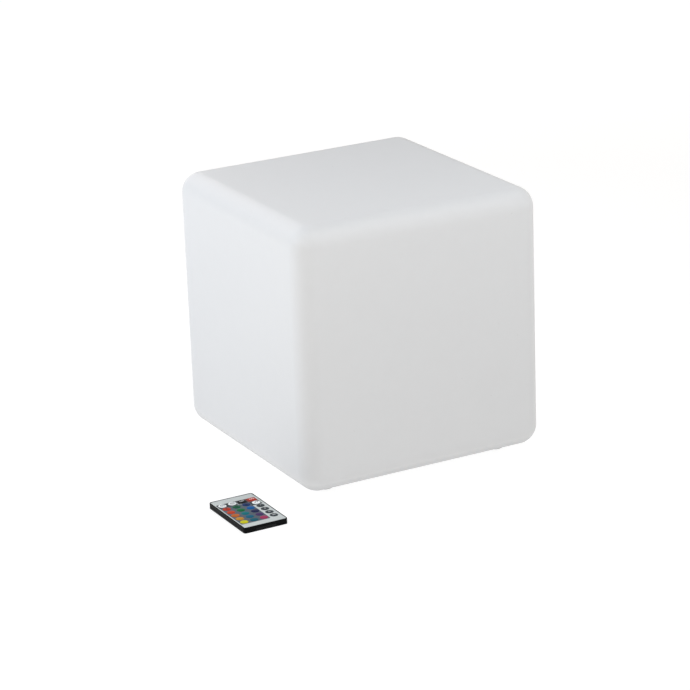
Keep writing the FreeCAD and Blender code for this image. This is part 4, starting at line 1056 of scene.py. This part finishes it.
def ring_mark(mesh):
    """A flat ring round the key's middle."""
    loops = []
    for radius in RING:
        made = bmesh.ops.create_circle(mesh, cap_ends=False, radius=radius, segments=RING_SIDES)
        loops += {edge for vert in made["verts"] for edge in vert.link_edges}
    bmesh.ops.bridge_loops(mesh, edges=loops)


def word(mesh, text, height):
    """Text turned into a flat mesh, centred on the key."""
    curve = bpy.data.curves.new("word", "FONT")
    curve.body = text
    curve.size = height * LETTER_SCALE
    curve.align_x = "CENTER"
    curve.align_y = "CENTER"
    curve.resolution_u = 3
    curve.offset = height * LETTER_BOLDNESS
    holder = bpy.data.objects.new("word", curve)
    data = bpy.data.meshes.new_from_object(holder)
    mesh.from_mesh(data)
    bpy.data.objects.remove(holder)
    bpy.data.meshes.remove(data)
    bpy.data.curves.remove(curve)


def print_mark(node, mesh, material):
    """Thicken a flat mark, lay it on the key's crown and finish it."""
    low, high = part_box(node)
    middle = (low + high) / 2
    radius = (high.x - low.x) / 2 - FLANGE_WIDTH - SHOULDER_WIDTH
    bmesh.ops.remove_doubles(mesh, verts=mesh.verts[:], dist=MARK_WELD)
    bmesh.ops.triangulate(mesh, faces=mesh.faces[:])
    for _ in range(HALVINGS):
        long_edges = [edge for edge in mesh.edges if edge.calc_length() > LONGEST_INK_EDGE]
        bmesh.ops.subdivide_edges(mesh, edges=long_edges, cuts=1, use_grid_fill=False)
        bmesh.ops.triangulate(mesh, faces=mesh.faces[:])
    bmesh.ops.scale(mesh, vec=(MM, MM, MM), verts=mesh.verts[:])
    bmesh.ops.recalc_face_normals(mesh, faces=mesh.faces[:])
    grown = bmesh.ops.extrude_face_region(mesh, geom=mesh.faces[:], use_keep_orig=True)
    raised = [item for item in grown["geom"] if isinstance(item, bmesh.types.BMVert)]
    bmesh.ops.translate(mesh, vec=(0.0, 0.0, INK_PROUD + INK_SUNK), verts=raised)
    bmesh.ops.translate(mesh, vec=(0.0, 0.0, -INK_SUNK), verts=mesh.verts[:])
    for vert in mesh.verts:
        share = math.hypot(vert.co.x, vert.co.y) / radius
        vert.co += Vector((middle.x, middle.y, high.z - CROWN_ROOM - crown_drop(share)))
    bmesh.ops.recalc_face_normals(mesh, faces=mesh.faces[:])
    piece_from(mesh, node + "_mark", node, material)


WORDS = {
    "key_off": ("OFF", 2.3, light_ink), "key_on": ("ON", 2.7, light_ink),
    "key_red": ("R", 3.4, dark_ink), "key_green": ("G", 3.4, dark_ink),
    "key_blue": ("B", 3.4, dark_ink), "key_white": ("W", 3.4, dark_ink),
}
CHEVRONS = {"key_brighter": 1, "key_dimmer": -1}
COUNTS = ("key_effect_one", "key_effect_two", "key_effect_three", "key_effect_four")

for node, (text, height, material) in WORDS.items():
    mark = bmesh.new()
    word(mark, text, height)
    print_mark(node, mark, material)
for node, up in CHEVRONS.items():
    mark = bmesh.new()
    ring_mark(mark)
    for side in (-1, 1):
        bar(mark, (side * CHEVRON_HALF_SPAN, 0.0), CHEVRON_ARM, -side * up * CHEVRON_TURN)
    print_mark(node, mark, dark_ink)
for count, node in enumerate(COUNTS, 1):
    mark = bmesh.new()
    for number in range(count):
        bar(mark, ((number - (count - 1) / 2) * COUNT_PITCH, 0.0), COUNT_BAR)
    print_mark(node, mark, light_ink)
print("marks:", len(WORDS) + len(CHEVRONS) + len(COUNTS))

# %% [markdown]
# ## Paint the CAD parts
#
# Parts without a remodelled piece show their CAD mesh, so every CAD part gets its slot's finish, also those
# that the shell hides.

# %% Finish the CAD parts
for name, node in frame["nodes"].items():
    for place in node.material_slots:
        place.material = finishes[slot_of[name]]
print("painted", len(frame["nodes"]), "parts with", len(finishes), "finishes")

# %% [markdown]
